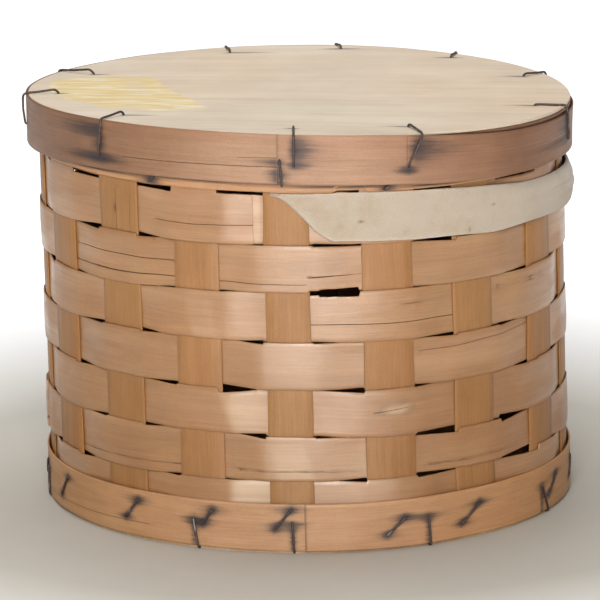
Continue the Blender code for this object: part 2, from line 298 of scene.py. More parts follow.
def add_piece(name, points, faces, look, body, nodes, grain, marks=()):
    """A mesh piece that rides on a body, stands for CAD nodes and carries its grain and marks."""
    mesh = bpy.data.meshes.new(name)
    mesh.from_pydata(points, [], faces)
    closed_outward(mesh)
    mesh.materials.append(look)
    mesh.shade_smooth()
    mesh.set_sharp_from_angle(angle=SHARP_ANGLE)
    for title, values in (("grain", grain), ("marks", marks)):
        if values:
            layer = mesh.attributes.new(title, "FLOAT_VECTOR", "POINT")
            layer.data.foreach_set("vector", [number for value in values for number in value])
    piece = bpy.data.objects.new(name, mesh)
    bpy.context.scene.collection.objects.link(piece)
    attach(piece, body)
    if nodes:
        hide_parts(*nodes)
    return piece


def side_faces(count, loop):
    """Faces between neighbouring loops of points."""
    faces = []
    for i in range(count - 1):
        here, there = i * loop, (i + 1) * loop
        for j in range(loop):
            k = (j + 1) % loop
            faces.append((here + j, there + j, there + k, here + k))
    return faces


def strip_faces(count, loop):
    """Faces of a strip whose loops go along its outer face and back along its inner one."""
    faces = side_faces(count, loop)
    for first in (0, (count - 1) * loop):
        for j in range(loop // 2 - 1):
            faces.append((first + j, first + j + 1, first + loop - 2 - j, first + loop - 1 - j))
    return faces


EDGE = 0.0004                  # how far the rounding of a splint's edge reaches in
FACE_ROWS = 5                  # rows in each stretch between splits
GROOVE = 0.9                   # depth of a split as a share of the thickness
SPLIT_FADE = 0.06              # share of its length that a split takes to close beyond its ends
ROUNDING = ((0.0, 0.3, 0.0), (1.0, 0.3, 0.0), (1.0, 0.7, 0.0), (0.0, 0.7, 0.0))


def split_row(split, station, width, seed):
    """(share across, half opening as a share of the width, depth, darkness) of a split."""
    start, end, first, last, opening, closing, dark = split
    run = (station - start) / (end - start)
    inside = held(run)
    active = hump(run, 0.0, 1.0, SPLIT_FADE)
    line = mix(first, last, inside) + 0.012 * wobble(seed, station * 2.1)
    half = 0.5 * MM * max(mix(opening, closing, inside), 0.2) / width
    return line, half, GROOVE * active if dark > 0 else 0.0, dark * active


def add_splint(
    name, look, body, node, stations, width, place, along, seed,
    splits=(), marks=None, rows=FACE_ROWS, across=None,
):
    """A thin strip of wood, swept along stations, that may be split along its grain.

    place(station, share, depth) gives a point: share runs across from 0 to 1 and depth from the
    outer face, 0, to the inner face, 1. A split is (start, end, first share, last share, first
    opening, last opening, darkness); a negative darkness is a pale line without an opening.
    """
    order = sorted(range(len(splits)), key=lambda index: splits[index][2])
    points, grain, mark_values = [], [], []
    for station in stations:
        face = []
        low = EDGE / width
        for index in order:
            line, half, depth, dark = split_row(splits[index], station, width, seed + index)
            face += [(share, 0.0, 0.0) for share in steps(low, line - half, rows - 1)]
            face.append((line, depth, dark))
            low = line + half
        face += [(share, 0.0, 0.0) for share in steps(low, 1 - EDGE / width, rows - 1)]
        back = [(row[0], 1.0, 0.0) for row in reversed(face)]
        loop = [ROUNDING[0], *face, *ROUNDING[1:3], *back, ROUNDING[3]]
        for share, depth, dark in loop:
            points.append(place(station, share, depth))
            over = across(station, share) if across else share * width
            grain.append((along(station), over, seed))
            stain, crack, pale = marks(station, share) if marks else (0.0, 0.0, 0.0)
            mark_values.append((stain, max(dark, crack), max(pale, -dark)))
    faces = strip_faces(len(stations), len(points) // len(stations))
    return add_piece(name, points, faces, look, body, [node], grain, mark_values)


WIRE_SIDES = 10
WIRE_STEP = 0.0018
WIRE_BEND = 0.0012             # how far from a corner its rounding starts


def add_wire(name, route, body, *nodes):
    """A round wire with blunt ends along a route of (radius, azimuth, height) on its body."""
    point = lid_point if body == "lid" else hamper_point
    path = smooth_route([point(*spot) for spot in route])
    points, grain = [], []
    reach = 0.0
    side = None
    for i, middle in enumerate(path):
        forward = (path[min(i + 1, len(path) - 1)] - path[max(i - 1, 0)]).normalized()
        if side is None:
            side = forward.orthogonal().normalized()
        side = (side - forward * side.dot(forward)).normalized()
        up = forward.cross(side)
        if i:
            reach += (middle - path[i - 1]).length
        blunt = i in (0, len(path) - 1)
        size = WIRE_RADIUS * (0.72 if blunt else 1 + 0.05 * wobble(len(route), 400 * reach))
        for j in range(WIRE_SIDES):
            turn = math.tau * j / WIRE_SIDES
            points.append(middle + size * (math.cos(turn) * side + math.sin(turn) * up))
            grain.append((reach, turn * WIRE_RADIUS, len(path)))
    faces = side_faces(len(path), WIRE_SIDES)
    faces.append(tuple(range(WIRE_SIDES)))
    faces.append(tuple(reversed(range(len(points) - WIRE_SIDES, len(points)))))
    add_piece(name, points, faces, WIRE_LOOK, body, nodes, grain)


def smooth_route(points):
    """The route's corners rounded off by cutting them twice, then filled to an even step."""
    for _ in range(2):
        cut = [points[0]]
        for i in range(len(points) - 1):
            reach = min(0.25, WIRE_BEND / max((points[i + 1] - points[i]).length, 1e-6))
            cut.append(points[i].lerp(points[i + 1], reach))
            cut.append(points[i].lerp(points[i + 1], 1 - reach))
        cut.append(points[-1])
        points = cut
    filled = []
    for i in range(len(points) - 1):
        count = max(1, round((points[i + 1] - points[i]).length / WIRE_STEP))
        filled += [points[i].lerp(points[i + 1], j / count) for j in range(count)]
    return filled + [points[-1]]


# ---------------------------------------------------------------- materials

class Look:
    """A node material built by short calls."""

    def __init__(self, name):
        self.material = bpy.data.materials.new(name)
        self.material.use_nodes = True
        self.tree = self.material.node_tree
        self.shader = self.tree.nodes["Principled BSDF"]
        self.place = self.node("ShaderNodeTexCoord").outputs["Object"]

    def put(self, target, value):
        if isinstance(value, bpy.types.NodeSocket):
            self.tree.links.new(value, target)
        else:
            target.default_value = value

    def node(self, kind, inputs=(), **settings):
        made = self.tree.nodes.new(kind)
        for name, value in settings.items():
            setattr(made, name, value)
        for key, value in dict(inputs).items():
            self.put(made.inputs[key], value)
        return made

    def math(self, operation, first, second=0.0, clamp=False):
        made = self.node("ShaderNodeMath", {0: first, 1: second}, operation=operation)
        made.use_clamp = clamp
        return made.outputs[0]

    def times(self, first, second, clamp=False):
        return self.math("MULTIPLY", first, second, clamp)

    def weigh(self, *pairs):
        """The sum of values, each times its weight."""
        total = None
        for value, weight in pairs:
            part = value if weight == 1 else self.times(value, weight)
            total = part if total is None else self.math("ADD", total, part)
        return total

    def fit(self, value, low, high, new_low=0.0, new_high=1.0):
        """A value's range remapped, and held within the new one."""
        made = self.node("ShaderNodeMapRange", {0: value, 1: low, 2: high, 3: new_low, 4: new_high})
        return made.outputs[0]

    def blend(self, share, first, second, mode="MIX"):
        made = self.node("ShaderNodeMix", data_type="RGBA", blend_type=mode)
        self.put(made.inputs[0], share)
        self.put(made.inputs[6], (*first, 1.0) if isinstance(first, tuple) else first)
        self.put(made.inputs[7], (*second, 1.0) if isinstance(second, tuple) else second)
        return made.outputs[2]

    def tint(self, share, colour, tint):
        """A colour multiplied by a tint, as far as share says."""
        return self.blend(share, colour, self.blend(1.0, colour, tint, "MULTIPLY"))

    def split(self, vector):
        return self.node("ShaderNodeSeparateXYZ", {0: vector}).outputs

    def join(self, x, y, z):
        return self.node("ShaderNodeCombineXYZ", {0: x, 1: y, 2: z}).outputs[0]

    def attribute(self, name):
        return self.node("ShaderNodeAttribute", attribute_name=name).outputs["Vector"]

    def noise(self, vector, scale=1.0, detail=2.0, roughness=0.5):
        inputs = {"Vector": vector, "Scale": scale, "Detail": detail, "Roughness": roughness}
        return self.node("ShaderNodeTexNoise", inputs).outputs["Fac"]

    def ramp(self, value, stops):
        made = self.node("ShaderNodeValToRGB", {0: value})
        band = made.color_ramp
        while len(band.elements) < len(stops):
            band.elements.new(0.5)
        for element, (position, colour) in zip(band.elements, stops):
            element.position = position
            element.color = (*colour, 1.0)
        return made.outputs[0]

    def bump(self, height, strength, distance):
        inputs = {"Height": height, "Strength": strength, "Distance": distance}
        return self.node("ShaderNodeBump", inputs).outputs[0]

    def finish(self, colour, roughness, normal=None):
        self.put(self.shader.inputs["Base Color"], colour)
        self.put(self.shader.inputs["Roughness"], roughness)
        if normal is not None:
            self.put(self.shader.inputs["Normal"], normal)
        return self.material


IRON_STAIN_AND_SHADOW = (0.026, 0.022, 0.028)
STAIN_AND_SHADOW_VEIL = (0.40, 0.42, 0.50)
CRACK_AND_SHADOW_DARK = (0.050, 0.026, 0.014)
# Paler wood for wear, end grain and knots, and for the painted sheen patches
WEAR_AND_SHEEN_PALE = (0.74, 0.55, 0.35)


def grain_vector(look, along_scale, across_scale, bend=0.0):
    """Coordinates stretched along the grain, in cycles a metre; bend makes the grain wander."""
    along, across, seed = look.split(look.attribute("grain"))
    if bend:
        sway = look.noise(look.join(look.times(along, 9.0), look.times(across, 22.0), seed), detail=1.0)
        across = look.weigh((across, 1), (sway, bend))
    return look.join(
        look.times(along, along_scale), look.times(across, across_scale), look.times(seed, 17.3),
    )


def grain_noise(look, along_scale, across_scale, bend=0.0, detail=2.0, roughness=0.5):
    return look.noise(grain_vector(look, along_scale, across_scale, bend), 1.0, detail, roughness)


def stain_and_shadow(look, colour, stain):
    """Iron stain: a blue-grey veil that runs out in streaks along the grain, black at its core. It also
    colours the painted shadow line under the lid's band on the rim's hoop.
    """
    streaks = grain_noise(look, 16.0, 520.0, 0.0, 5.0, 0.72)
    ragged = look.weigh((stain, 1), (look.math("SUBTRACT", streaks, 0.5), 0.9))
    inked = look.times(look.fit(ragged, 0.06, 1.0), look.fit(stain, 0.03, 0.25))
    colour = look.tint(look.fit(inked, 0.0, 0.50, 0.0, 0.95), colour, STAIN_AND_SHADOW_VEIL)
    return look.blend(look.fit(inked, 0.34, 0.95, 0.0, 0.9), colour, IRON_STAIN_AND_SHADOW), inked


def painted_side_shade(look, colour, tint, reach):
    """Painted shade: wood darkened towards both sides of the hamper as seen from the front, where the
    light falls off round it.
    """
    x = look.split(look.place)[0]
    aside = look.math("ABSOLUTE", look.math("ADD", x, 0.01))
    return look.tint(look.fit(aside, *reach), colour, tint)


# side is the tint of the painted shade towards the hamper's sides, and reach the distances over which
# it comes in
def make_wood(
    name, deep, middle, pale, gloss=0.0, sheen=0.0, side=(0.90, 0.85, 0.68), reach=(0.07, 0.20),
):
    """Splint wood: bands and fibres along the grain, pores, knots, cracks and iron stains, with painted
    shade towards the hamper's sides and pale patches from the marks, some of them painted sheen.
    """
    look = Look(name)
    bands = grain_noise(look, 3.5, 75.0, 0.006, 3.0, 0.55)
    fibres = grain_noise(look, 11.0, 520.0, 0.004, 4.0, 0.6)
    fine = grain_noise(look, 45.0, 1250.0, 0.0, 3.0, 0.65)
    mottle = look.noise(look.place, 16.0, 4.0, 0.6)
    speck = look.noise(look.place, 620.0, 3.0, 0.7)
    tone = look.weigh((bands, 0.27), (fibres, 0.20), (mottle, 0.35), (speck, 0.18))
    colour = look.ramp(tone, ((0.36, deep), (0.50, middle), (0.64, pale)))

    hue = grain_noise(look, 2.2, 14.0, detail=1.0)
    colour = look.tint(look.fit(hue, 0.44, 0.68, 0.0, 0.6), colour, (1.05, 0.93, 0.88))
    patina = look.noise(look.place, 5.5, 5.0, 0.62)
    colour = look.tint(look.fit(patina, 0.44, 0.68, 0.0, 0.5), colour, (0.86, 0.81, 0.68))
    colour = look.blend(look.fit(fine, 0.30, 0.62, 0.17, 0.0), colour, CRACK_AND_SHADOW_DARK)
    colour = painted_side_shade(look, colour, side, reach)

    pores = grain_noise(look, 38.0, 800.0, detail=1.0)
    colour = look.blend(look.fit(pores, 0.72, 0.84, 0.0, 0.40), colour, deep)
    knot_cells = look.node(
        "ShaderNodeTexVoronoi", {"Vector": grain_vector(look, 15.0, 42.0), "Scale": 1.0}
    )
    knot_pick = look.split(knot_cells.outputs["Color"])[0]
    knot = look.times(
        look.fit(knot_cells.outputs["Distance"], 0.085, 0.030), look.fit(knot_pick, 0.960, 0.965),
    )
    colour = look.blend(look.times(knot, 0.62), colour, CRACK_AND_SHADOW_DARK)

    stain, crack, wear_and_sheen = look.split(look.attribute("marks"))
    # Pale patches and lines: worn wood, end grain, knots and pale splits, and the painted sheen patches
    # on weavers
    ragged = look.times(wear_and_sheen, look.fit(bands, 0.30, 0.60, 0.35, 1.1), True)
    colour = look.blend(ragged, colour, WEAR_AND_SHEEN_PALE)
    colour = look.blend(look.times(crack, 0.92, True), colour, CRACK_AND_SHADOW_DARK)
    colour, inked = stain_and_shadow(look, colour, stain)

    burnish = look.fit(grain_noise(look, 13.0, 34.0, 0.01), 0.47, 0.53)
    rough = look.fit(fibres, 0.30, 0.70, 0.60 - 0.10 * gloss, 0.52 - 0.10 * gloss)
    rough = look.weigh((rough, 1), (burnish, -0.14 * gloss), (inked, 0.12))
    relief = look.weigh((fibres, 0.5), (fine, 0.18), (bands, 0.5))
    normal = look.bump(relief, 0.42, 0.0005)
    look.shader.inputs["Specular IOR Level"].default_value = 0.30 + 0.77 * sheen
    if sheen:
        around = look.node("ShaderNodeTangent", direction_type="RADIAL", axis="Z")
        look.shader.inputs["Anisotropic"].default_value = sheen
        look.shader.inputs["Anisotropic Rotation"].default_value = 0.25
        look.put(look.shader.inputs["Tangent"], around.outputs[0])
    return look.finish(colour, rough, normal)


def make_panel_wood(name, deep, middle, pale):
    """The lid's veneer: silvery cream, faint straight grain, with dried ochre glue in one place."""
    look = Look(name)
    bands = grain_noise(look, 1.6, 34.0, 0.010, 4.0, 0.6)
    fibres = grain_noise(look, 7.0, 420.0, 0.003, 4.0, 0.62)
    mottle = look.noise(look.place, 9.0, 5.0, 0.65)
    tone = look.weigh((bands, 0.34), (fibres, 0.24), (mottle, 0.42))
    colour = look.ramp(tone, ((0.38, deep), (0.50, middle), (0.62, pale)))
    warm = look.noise(look.place, 3.2, 3.0, 0.5)
    colour = look.tint(look.fit(warm, 0.42, 0.64, 0.0, 0.9), colour, (1.02, 0.93, 0.86))

    stain, crack, residue = look.split(look.attribute("marks"))
    patches = grain_noise(look, 14.0, 46.0, 0.0, 5.0, 0.66)
    streaks = grain_noise(look, 16.0, 130.0, 0.0, 3.0, 0.6)
    film = look.weigh((residue, 1), (patches, 1.1))
    film = look.times(look.fit(film, 0.90, 1.14), look.fit(residue, 0.02, 0.20))
    stops = ((0.34, (0.64, 0.47, 0.20)), (0.52, (0.73, 0.56, 0.26)), (0.68, (0.78, 0.67, 0.42)))
    ochre = look.ramp(streaks, stops)
    tears = grain_noise(look, 16.0, 85.0, 0.0, 4.0, 0.7)
    cream = look.blend(look.fit(tears, 0.53, 0.59), ochre, (0.78, 0.70, 0.56))
    colour = look.blend(look.times(film, 0.9), colour, cream)
    colour = look.blend(look.times(crack, 0.9, True), colour, CRACK_AND_SHADOW_DARK)
    colour, _ = stain_and_shadow(look, colour, stain)
    relief = look.weigh((fibres, 0.7), (film, 0.5))
    rough = look.fit(fibres, 0.3, 0.7, 0.66, 0.54)
    look.shader.inputs["Specular IOR Level"].default_value = 0.28
    return look.finish(colour, rough, look.bump(relief, 0.5, 0.0004))


RIB_PITCH = 0.0021
YARN_PITCH = 0.0009
HERRINGBONE_HALF = 0.0047      # width of a column of ribs that slant one way


def make_webbing_look():
    """Unbleached cotton herringbone tape, a little grey and spotted with age."""
    look = Look("herringbone_webbing")
    along, across, _ = look.split(look.attribute("grain"))
    column = look.math("PINGPONG", across, HERRINGBONE_HALF)
    slope = look.math("ADD", along, column)
    rib = look.math("SINE", look.times(slope, math.tau / RIB_PITCH))
    yarn = look.math("SINE", look.times(across, math.tau / YARN_PITCH))
    weave = look.weigh((rib, 0.27), (yarn, 0.12), (0.5, 1))
    fuzz = look.noise(look.place, 900.0, 3.0, 0.6)
    tone = look.weigh((weave, 0.7), (fuzz, 0.3))
    stops = ((0.15, (0.41, 0.33, 0.248)), (0.5, (0.505, 0.413, 0.318)), (0.85, (0.59, 0.495, 0.394)))
    colour = look.ramp(tone, stops)
    soil = look.noise(look.place, 24.0, 6.0, 0.68)
    colour = look.tint(look.fit(soil, 0.46, 0.68, 0.0, 0.75), colour, (0.84, 0.77, 0.65))
    stain, crack, pale = look.split(look.attribute("marks"))
    colour = look.blend(look.times(stain, 0.85, True), colour, (0.16, 0.085, 0.045))
    # The crack channel holds the webbing's slit, painted dark as the shade in the cut
    colour = look.blend(look.times(crack, 0.8, True), colour, (0.07, 0.05, 0.035))
    colour = look.blend(look.times(pale, 0.5, True), colour, (0.72, 0.63, 0.52))
    look.shader.inputs["Sheen Weight"].default_value = 0.25
    look.shader.inputs["Sheen Roughness"].default_value = 0.5
    look.shader.inputs["Specular IOR Level"].default_value = 0.25
    return look.finish(colour, look.fit(fuzz, 0.3, 0.7, 0.92, 0.8), look.bump(weave, 0.6, 0.0005))


def make_wire_look():
    """Old iron wire: brown-black skin with bare, glinting patches."""
    look = Look("rusted_wire")
    crust = look.noise(look.place, 420.0, 5.0, 0.7)
    rust = look.noise(look.place, 90.0, 3.0, 0.6)
    stops = ((0.35, (0.024, 0.018, 0.018)), (0.55, (0.070, 0.050, 0.045)), (0.7, (0.15, 0.10, 0.08)))
    skin = look.ramp(crust, stops)
    colour = look.blend(look.fit(rust, 0.5, 0.7, 0.0, 0.5), skin, (0.11, 0.052, 0.030))
    bare = look.fit(look.noise(look.place, 60.0, 2.0), 0.62, 0.69)
    colour = look.blend(bare, colour, (0.19, 0.18, 0.175))
    look.put(look.shader.inputs["Metallic"], look.fit(bare, 0.0, 1.0, 0.35, 0.85))
    rough = look.fit(bare, 0.0, 1.0, 0.62, 0.40)
    return look.finish(colour, rough, look.bump(crust, 0.7, 0.0002))


WEAVER_LOOK = make_wood(
    "weaver_splint", (0.332, 0.162, 0.064), (0.408, 0.204, 0.084), (0.488, 0.261, 0.120),
    gloss=0.8, sheen=0.7,
)
STAKE_LOOK = make_wood(
    "stake_splint", (0.320, 0.154, 0.053), (0.382, 0.188, 0.069), (0.445, 0.230, 0.092), gloss=0.3,
)
HOOP_LOOK = make_wood(
    "hoop_splint", (0.45, 0.230, 0.112), (0.55, 0.298, 0.153), (0.63, 0.360, 0.200), gloss=0.4,
)
# The band's painted shade towards the sides is darker and starts nearer the front
BAND_LOOK = make_wood(
    "lid_band_splint", (0.325, 0.172, 0.097), (0.405, 0.228, 0.135), (0.49, 0.292, 0.180), gloss=0.4,
    side=(0.54, 0.46, 0.38), reach=(0.05, 0.17),
)
PANEL_LOOK = make_panel_wood("lid_veneer", (0.57, 0.465, 0.35), (0.65, 0.545, 0.42), (0.72, 0.62, 0.49))
BASE_LOOK = make_wood("base_veneer", (0.45, 0.28, 0.16), (0.58, 0.39, 0.24), (0.68, 0.49, 0.32))
WEBBING_LOOK = make_webbing_look()
WIRE_LOOK = make_wire_look()


# ---------------------------------------------------------------- woven wall

def weaver_side(row, stake):
    """+1 where this row passes outside the stake and -1 where it passes inside. Row 1 is the top."""
    return 1 if (row - 1 + stake) % 2 else -1


def rear_slits(boundary):
    """Slits in the gaps that the front list doesn't reach."""
    chance = random.Random(100 + boundary)
    made = []
    for stake in range(FRONT_REACH, STAKES - FRONT_REACH):
        width = chance.uniform(0.16, 0.44)
        left = chance.random() < 0.5
        wide, narrow = chance.uniform(0.8, 3.4), chance.uniform(0.2, 0.9)
        shown = chance.random() < REAR_SLIT_SHARE
        if not shown or boundary == ROWS or (boundary, stake) in REAR_SHUT:
            continue
        start = stake + HALF_FLAT if left else stake + 1 - HALF_FLAT - width
        ends = (wide, narrow) if left else (narrow, wide)
        made.append((start, start + width, *ends))
    return made


ALL_SLITS = [list(SLITS[boundary]) + rear_slits(boundary) for boundary in range(ROWS + 1)]


def opening(boundary, place):
    """Width of the slit between two rows at a place, in metres."""
    shown = CLOSED
    for start, end, first, last in ALL_SLITS[boundary]:
        middle = (start + end) / 2
        here = middle + front_place(place - middle)
        if start - SLIT_FADE < here < end + SLIT_FADE:
            inside = held((here - start) / (end - start))
            edge = hump(here, start, end, SLIT_FADE)
            ragged = 1 + 0.06 * wobble(boundary, here * 14.0)
            shown = max(shown, mix(first, last, inside) * edge * ragged)
    return shown * MM


def boundary_lift(boundary, place):
    def at(stake):
        index = front_place(stake)
        if abs(index) <= FRONT_REACH:
            return BOUNDARY_LIFTS[boundary][index + FRONT_REACH]
        if boundary == ROWS:
            return 0.0
        return REAR_LIFT * wobble(boundary + 30, 0.9 * index)

    stake = math.floor(place)
    return MM * mix(at(stake), at(stake + 1), ease(place - stake))


def boundary_height(boundary, place):
    """Height of the line between two rows; boundary 0 is the top of the uppermost row."""
    even = ROW_LOW + (ROWS - boundary) * ROW_PITCH
    return even + boundary_lift(boundary, place) + 0.25 * MM * wobble(boundary + 60, place * 3.1)


def rim_hoop_low(azimuth):
    """Lower edge of the top hoop, which tips with the lid and is chipped at the front."""
    chip = 0.0018 * hump(math.degrees(wrap(azimuth)), 7.5, 13.0, 1.0)
    return RIM_HOOP_LOW - RIM_HOOP_DROP * math.sin(azimuth) + chip


TUCKED = 0.0025                # how far the uppermost weaver goes up behind the rim's hoop
RIM_HOOP_LOW = 0.2892
RIM_HOOP_DROP = 0.0036         # how much lower the top hoop's edge is at the right
NOTCH = 0.22                   # share of the width within which a slit narrows a weaver


def tuck(row, place):
    """How far a weaver's upper edge goes up behind the next one, where it lies further in."""
    if abs(front_place(place)) < FRONT_REACH + 0.5:
        return 0.0
    return REAR_TUCK * max(-weaver_wave(row, place) - TUCK_START, 0.0)


def row_edges(row, place):
    """Lower and upper edge of a row's weaver, and how far slits cut into each."""
    under = opening(row, place)
    above = opening(row - 1, place)
    low = boundary_height(row, place)
    if row > 1:
        high = boundary_height(row - 1, place) + tuck(row, place)
        return low, high, 0.42 * under, 0.58 * above
    cut = above + TUCKED if above > 2 * CLOSED * MM else 0.0
    return low, rim_hoop_low(azimuth_at(place)) + TUCKED, 0.42 * under, cut


def row_height(row, place, share):
    """Height on a weaver; near its edges it gives way to the slits."""
    low, high, cut_low, cut_high = row_edges(row, place)
    rise = cut_low * max(1 - share / NOTCH, 0.0) - cut_high * max(1 - (1 - share) / NOTCH, 0.0)
    return mix(low, high, share) + rise


def weaver_wave(row, place):
    stake = math.floor(place)
    turn = ease((place - stake - HALF_FLAT) / (1 - 2 * HALF_FLAT))
    return mix(weaver_side(row, stake), weaver_side(row, stake + 1), turn)


# Place at which each row's weaver starts
WEAVER_LAPS = {1: -1.25, 2: 8.0, 3: 11.0, 4: 10.0, 5: 7.0, 6: 12.0, 7: 9.0}
FIRST_LAP_REACH = 0.90         # the uppermost weaver's end shows just left of the front stake
LAP_REACH = 2.0                # places over which the other weavers' ends lap
LAP_SLOPE = 0.22               # share of a place over which a weaver climbs onto its own start
STEPS_A_PLACE = 26             # stations along a weaver
LAP_LIFT = 0.0011              # how far a weaver's last stretch lies outside its first one
WEAVER_TILT = 0.0005           # how far its edges lean in or out where it crosses a stake
WEAVER_CUP = 0.00035           # how far its middle bulges over a stake
WEAVER_CREST = 0.0004          # how much further out it is in the middle of a stake
ROUGHNESS = 0.00012            # unevenness of split wood and of webbing


def slit_ends(row, start, end):
    """Extra stations at the ends of the slits along a row, so that they end squarely."""
    extra = []
    for first, last, *_ in ALL_SLITS[row - 1] + ALL_SLITS[row]:
        for place in (first - SLIT_FADE, first, last, last + SLIT_FADE):
            for turn in (0, STAKES):
                extra.append(place + turn)
    return [place for place in extra if start < place < end]


def make_weaver(row):
    start = WEAVER_LAPS[row]
    reach = FIRST_LAP_REACH if row == 1 else LAP_REACH
    end = start + STAKES + reach
    count = round((end - start) * STEPS_A_PLACE)
    stations = sorted(steps(start, end, count) + slit_ends(row, start, end))

    def lap_lift(place):
        return LAP_LIFT * ease((place - (end - reach - LAP_SLOPE)) / LAP_SLOPE)

    def place_point(place, share, depth):
        wave = weaver_wave(row, place)
        stake = round(place)
        tilt = WEAVER_TILT * wobble(row + 11, 1.7 * front_place(stake))
        cup = WEAVER_CUP * (1 - (2 * share - 1) ** 2) * max(wave, 0.0)
        crest = WEAVER_CREST * max(wave, 0.0) * math.cos(math.pi * (place - stake))
        radius = WALL_RADIUS + WEAVER_SWING * wave + 0.5 * WEAVER_THICKNESS + lap_lift(place)
        radius += tilt * (share - 0.5) * wave + cup + crest - depth * WEAVER_THICKNESS
        radius += ROUGHNESS * wobble(row + 21, place * 4.0, share * 2.0)
        return hamper_point(radius, azimuth_at(place), row_height(row, place, share))

    def across(place, share):
        return row_height(row, place, share) - boundary_height(row, place)

    def marks(place, share):
        here = front_place(place)
        pale = 0.10 * max(wobble(row + 41, place * 1.3, share * 1.5), 0.0)
        if row == 1 and place < start + 1.5:
            pale = 0.30 * hump(here, -0.36, -0.26, 0.012)
        # Painted sheen highlights
        if row in PAINTED_SHEEN_PATCHES:
            first, last, slant, strength = PAINTED_SHEEN_PATCHES[row]
            pale = max(pale, strength * hump(here + slant * (share - 0.5), first, last, 0.10))
        if row == KNOT_EYE[0]:
            off = math.hypot((here - KNOT_EYE[1]) / KNOT_EYE[3], (share - KNOT_EYE[2]) / KNOT_EYE[4])
            pale = max(pale, 0.50 * ease(1.5 - off))
            return 0.0, 0.30 * math.exp(-((off - 1.1) / 0.25) ** 2), pale
        if row == 7:
            pale = max(pale, 0.5 * hump(here, -0.60, -0.29, 0.14) * hump(share, 0.60, 1.0, 0.25))
        return 0.0, 0.0, pale

    splits = []
    for first, last, *rest in WEAVER_SPLITS[row]:
        turn = STAKES if first < start else 0
        splits.append((first + turn, last + turn, *rest))
    add_splint(
        f"woven_ring_{row}", WEAVER_LOOK, "hamper", f"weaver_{row}",
        stations, ROW_PITCH, place_point, lambda place: azimuth_at(place) * WALL_RADIUS, row,
        splits, marks, across=across,
    )


STAKE_STEPS = 96
STAKE_LEAN = math.radians(0.35)  # how far a stake's top stands aside of its foot, at most
STAKE_RAGGED = 0.0005          # unevenness of its edges
STAKE_CUP = 0.00022            # how far its edges curl


def make_stake(number):
    stake = number - 1
    index = front_place(stake)
    width = MM * STAKE_WIDTHS.get(index, STAKE_WIDTH)
    middle = stake_azimuth(stake)
    top = RIM_TOP - 0.0004 + 0.0008 * wobble(5, index * 1.3)

    def bend(height):
        row_float = ROWS - (height - ROW_LOW) / ROW_PITCH + 0.5
        row = min(max(math.floor(row_float), 1), ROWS)
        next_row = min(row + 1, ROWS)
        turn = ease((row_float - row - 0.25) / 0.5)
        return mix(weaver_side(row, stake), weaver_side(next_row, stake), turn)

    def place_point(station, share, depth):
        height = mix(STAKE_LOW, top, station)
        lean = STAKE_LEAN * (station - 0.5) * (1 if index == 0 else wobble(3, index))
        edge = STAKE_RAGGED * wobble(index + 40, height * 22.0, round(share))
        azimuth = middle + lean + ((share - 0.5) * width + edge * (2 * share - 1)) / WALL_RADIUS
        cup = STAKE_CUP * (2 * share - 1) ** 2 * wobble(index + 70, height * 9.0)
        radius = WALL_RADIUS + 0.5 * STAKE_THICKNESS - depth * STAKE_THICKNESS
        radius += cup - STAKE_BEND * bend(height)
        return hamper_point(radius, azimuth, height)

    add_splint(
        f"upright_{number:02d}", STAKE_LOOK, "hamper", f"stake_{number:02d}",
        steps(0.0, 1.0, STAKE_STEPS), width, place_point, lambda station: mix(STAKE_LOW, top, station),
        20 + number, STAKE_SPLITS.get(index, ()),
    )


# ---------------------------------------------------------------- hoops and their wires

HOOP_LAP = math.radians(-1.05)
HOOP_LAP_REACH = math.radians(24)
LAP_BLEND = math.radians(16)
HOOP_STEPS = 430               # stations round a hoop
STAINED_STEPS = 620            # stations and rows of one with stains at its wires
STAINED_ROWS = 16
HOOP_WAVE = 0.0003             # how far a hoop strays from its circle
# Wires through the bottom hoop, by how many places their stake is from the front: azimuth in
# degrees and height in mm of the upper and of the lower end
HOOP_WIRES = {
    -3: (-64.4, 31.2, -68.5, 12.9), -2: (-38.9, 32.1, -42.5, 16.5), -1: (-20.7, 32.8, -23.1, 20.5),
    0: (-3.8, 36.0, -7.3, 19.9), 1: (20.2, 25.9, 16.1, 12.7), 2: (38.6, 28.1, 33.7, 14.0),
    3: (67.5, 28.6, 63.2, 14.2),
}
# Wires over the lower edge of the bottom hoop: azimuth in degrees at the top and at the foot
FOOT_WIRES = (
    (-3.6, -3.4), (25.4, 25.8), (59.9, 62.5), (97.0, 98.0), (133.0, 132.0), (169.0, 170.0),
    (205.0, 204.0), (242.0, 243.0), (279.6, 279.9), (335.0, 336.0),
)
FOOT_WIRE_TOP = 0.0255
# Iron stains on the bottom hoop: strength, reach round the hoop and reach in height
SHANK_STAIN = (0.75, 0.0022, 0.0014)       # along a wire through the hoop
TOP_STAIN = (0.78, 0.0105, 0.0040)         # at such a wire's upper end
FOOT_STAIN = (0.78, 0.0080, 0.0040)        # and at its lower one
EDGE_STAIN = (0.80, 0.0022, 0.0018)        # along a wire over the lower edge
EDGE_SMEAR = (0.0080, 0.0045)              # how much further it reaches at that wire's upper end
STAIN_LIMIT = 1.15


def lap_rise(turn, reach):
    """How far the outer end of a lapped hoop stands out, from 1 at its start to 0."""
    return 1 - ease((turn - reach) / LAP_BLEND)


def lapped_radius(radius, thickness, azimuth, lap, reach):
    """Outside radius of a lapped hoop at an azimuth."""
    return radius + LAP_RISE * thickness * lap_rise((azimuth - lap) % math.tau, reach)


def hoop_surface(azimuth):
    """Outside radius of the bottom hoop."""
    return lapped_radius(HOOP_RADIUS, HOOP_THICKNESS, azimuth, HOOP_LAP, HOOP_LAP_REACH)


def hoop_gap(azimuth, degrees):
    """Distance round the hoop from an azimuth to one in degrees."""
    return abs(wrap(azimuth - math.radians(degrees))) * HOOP_RADIUS


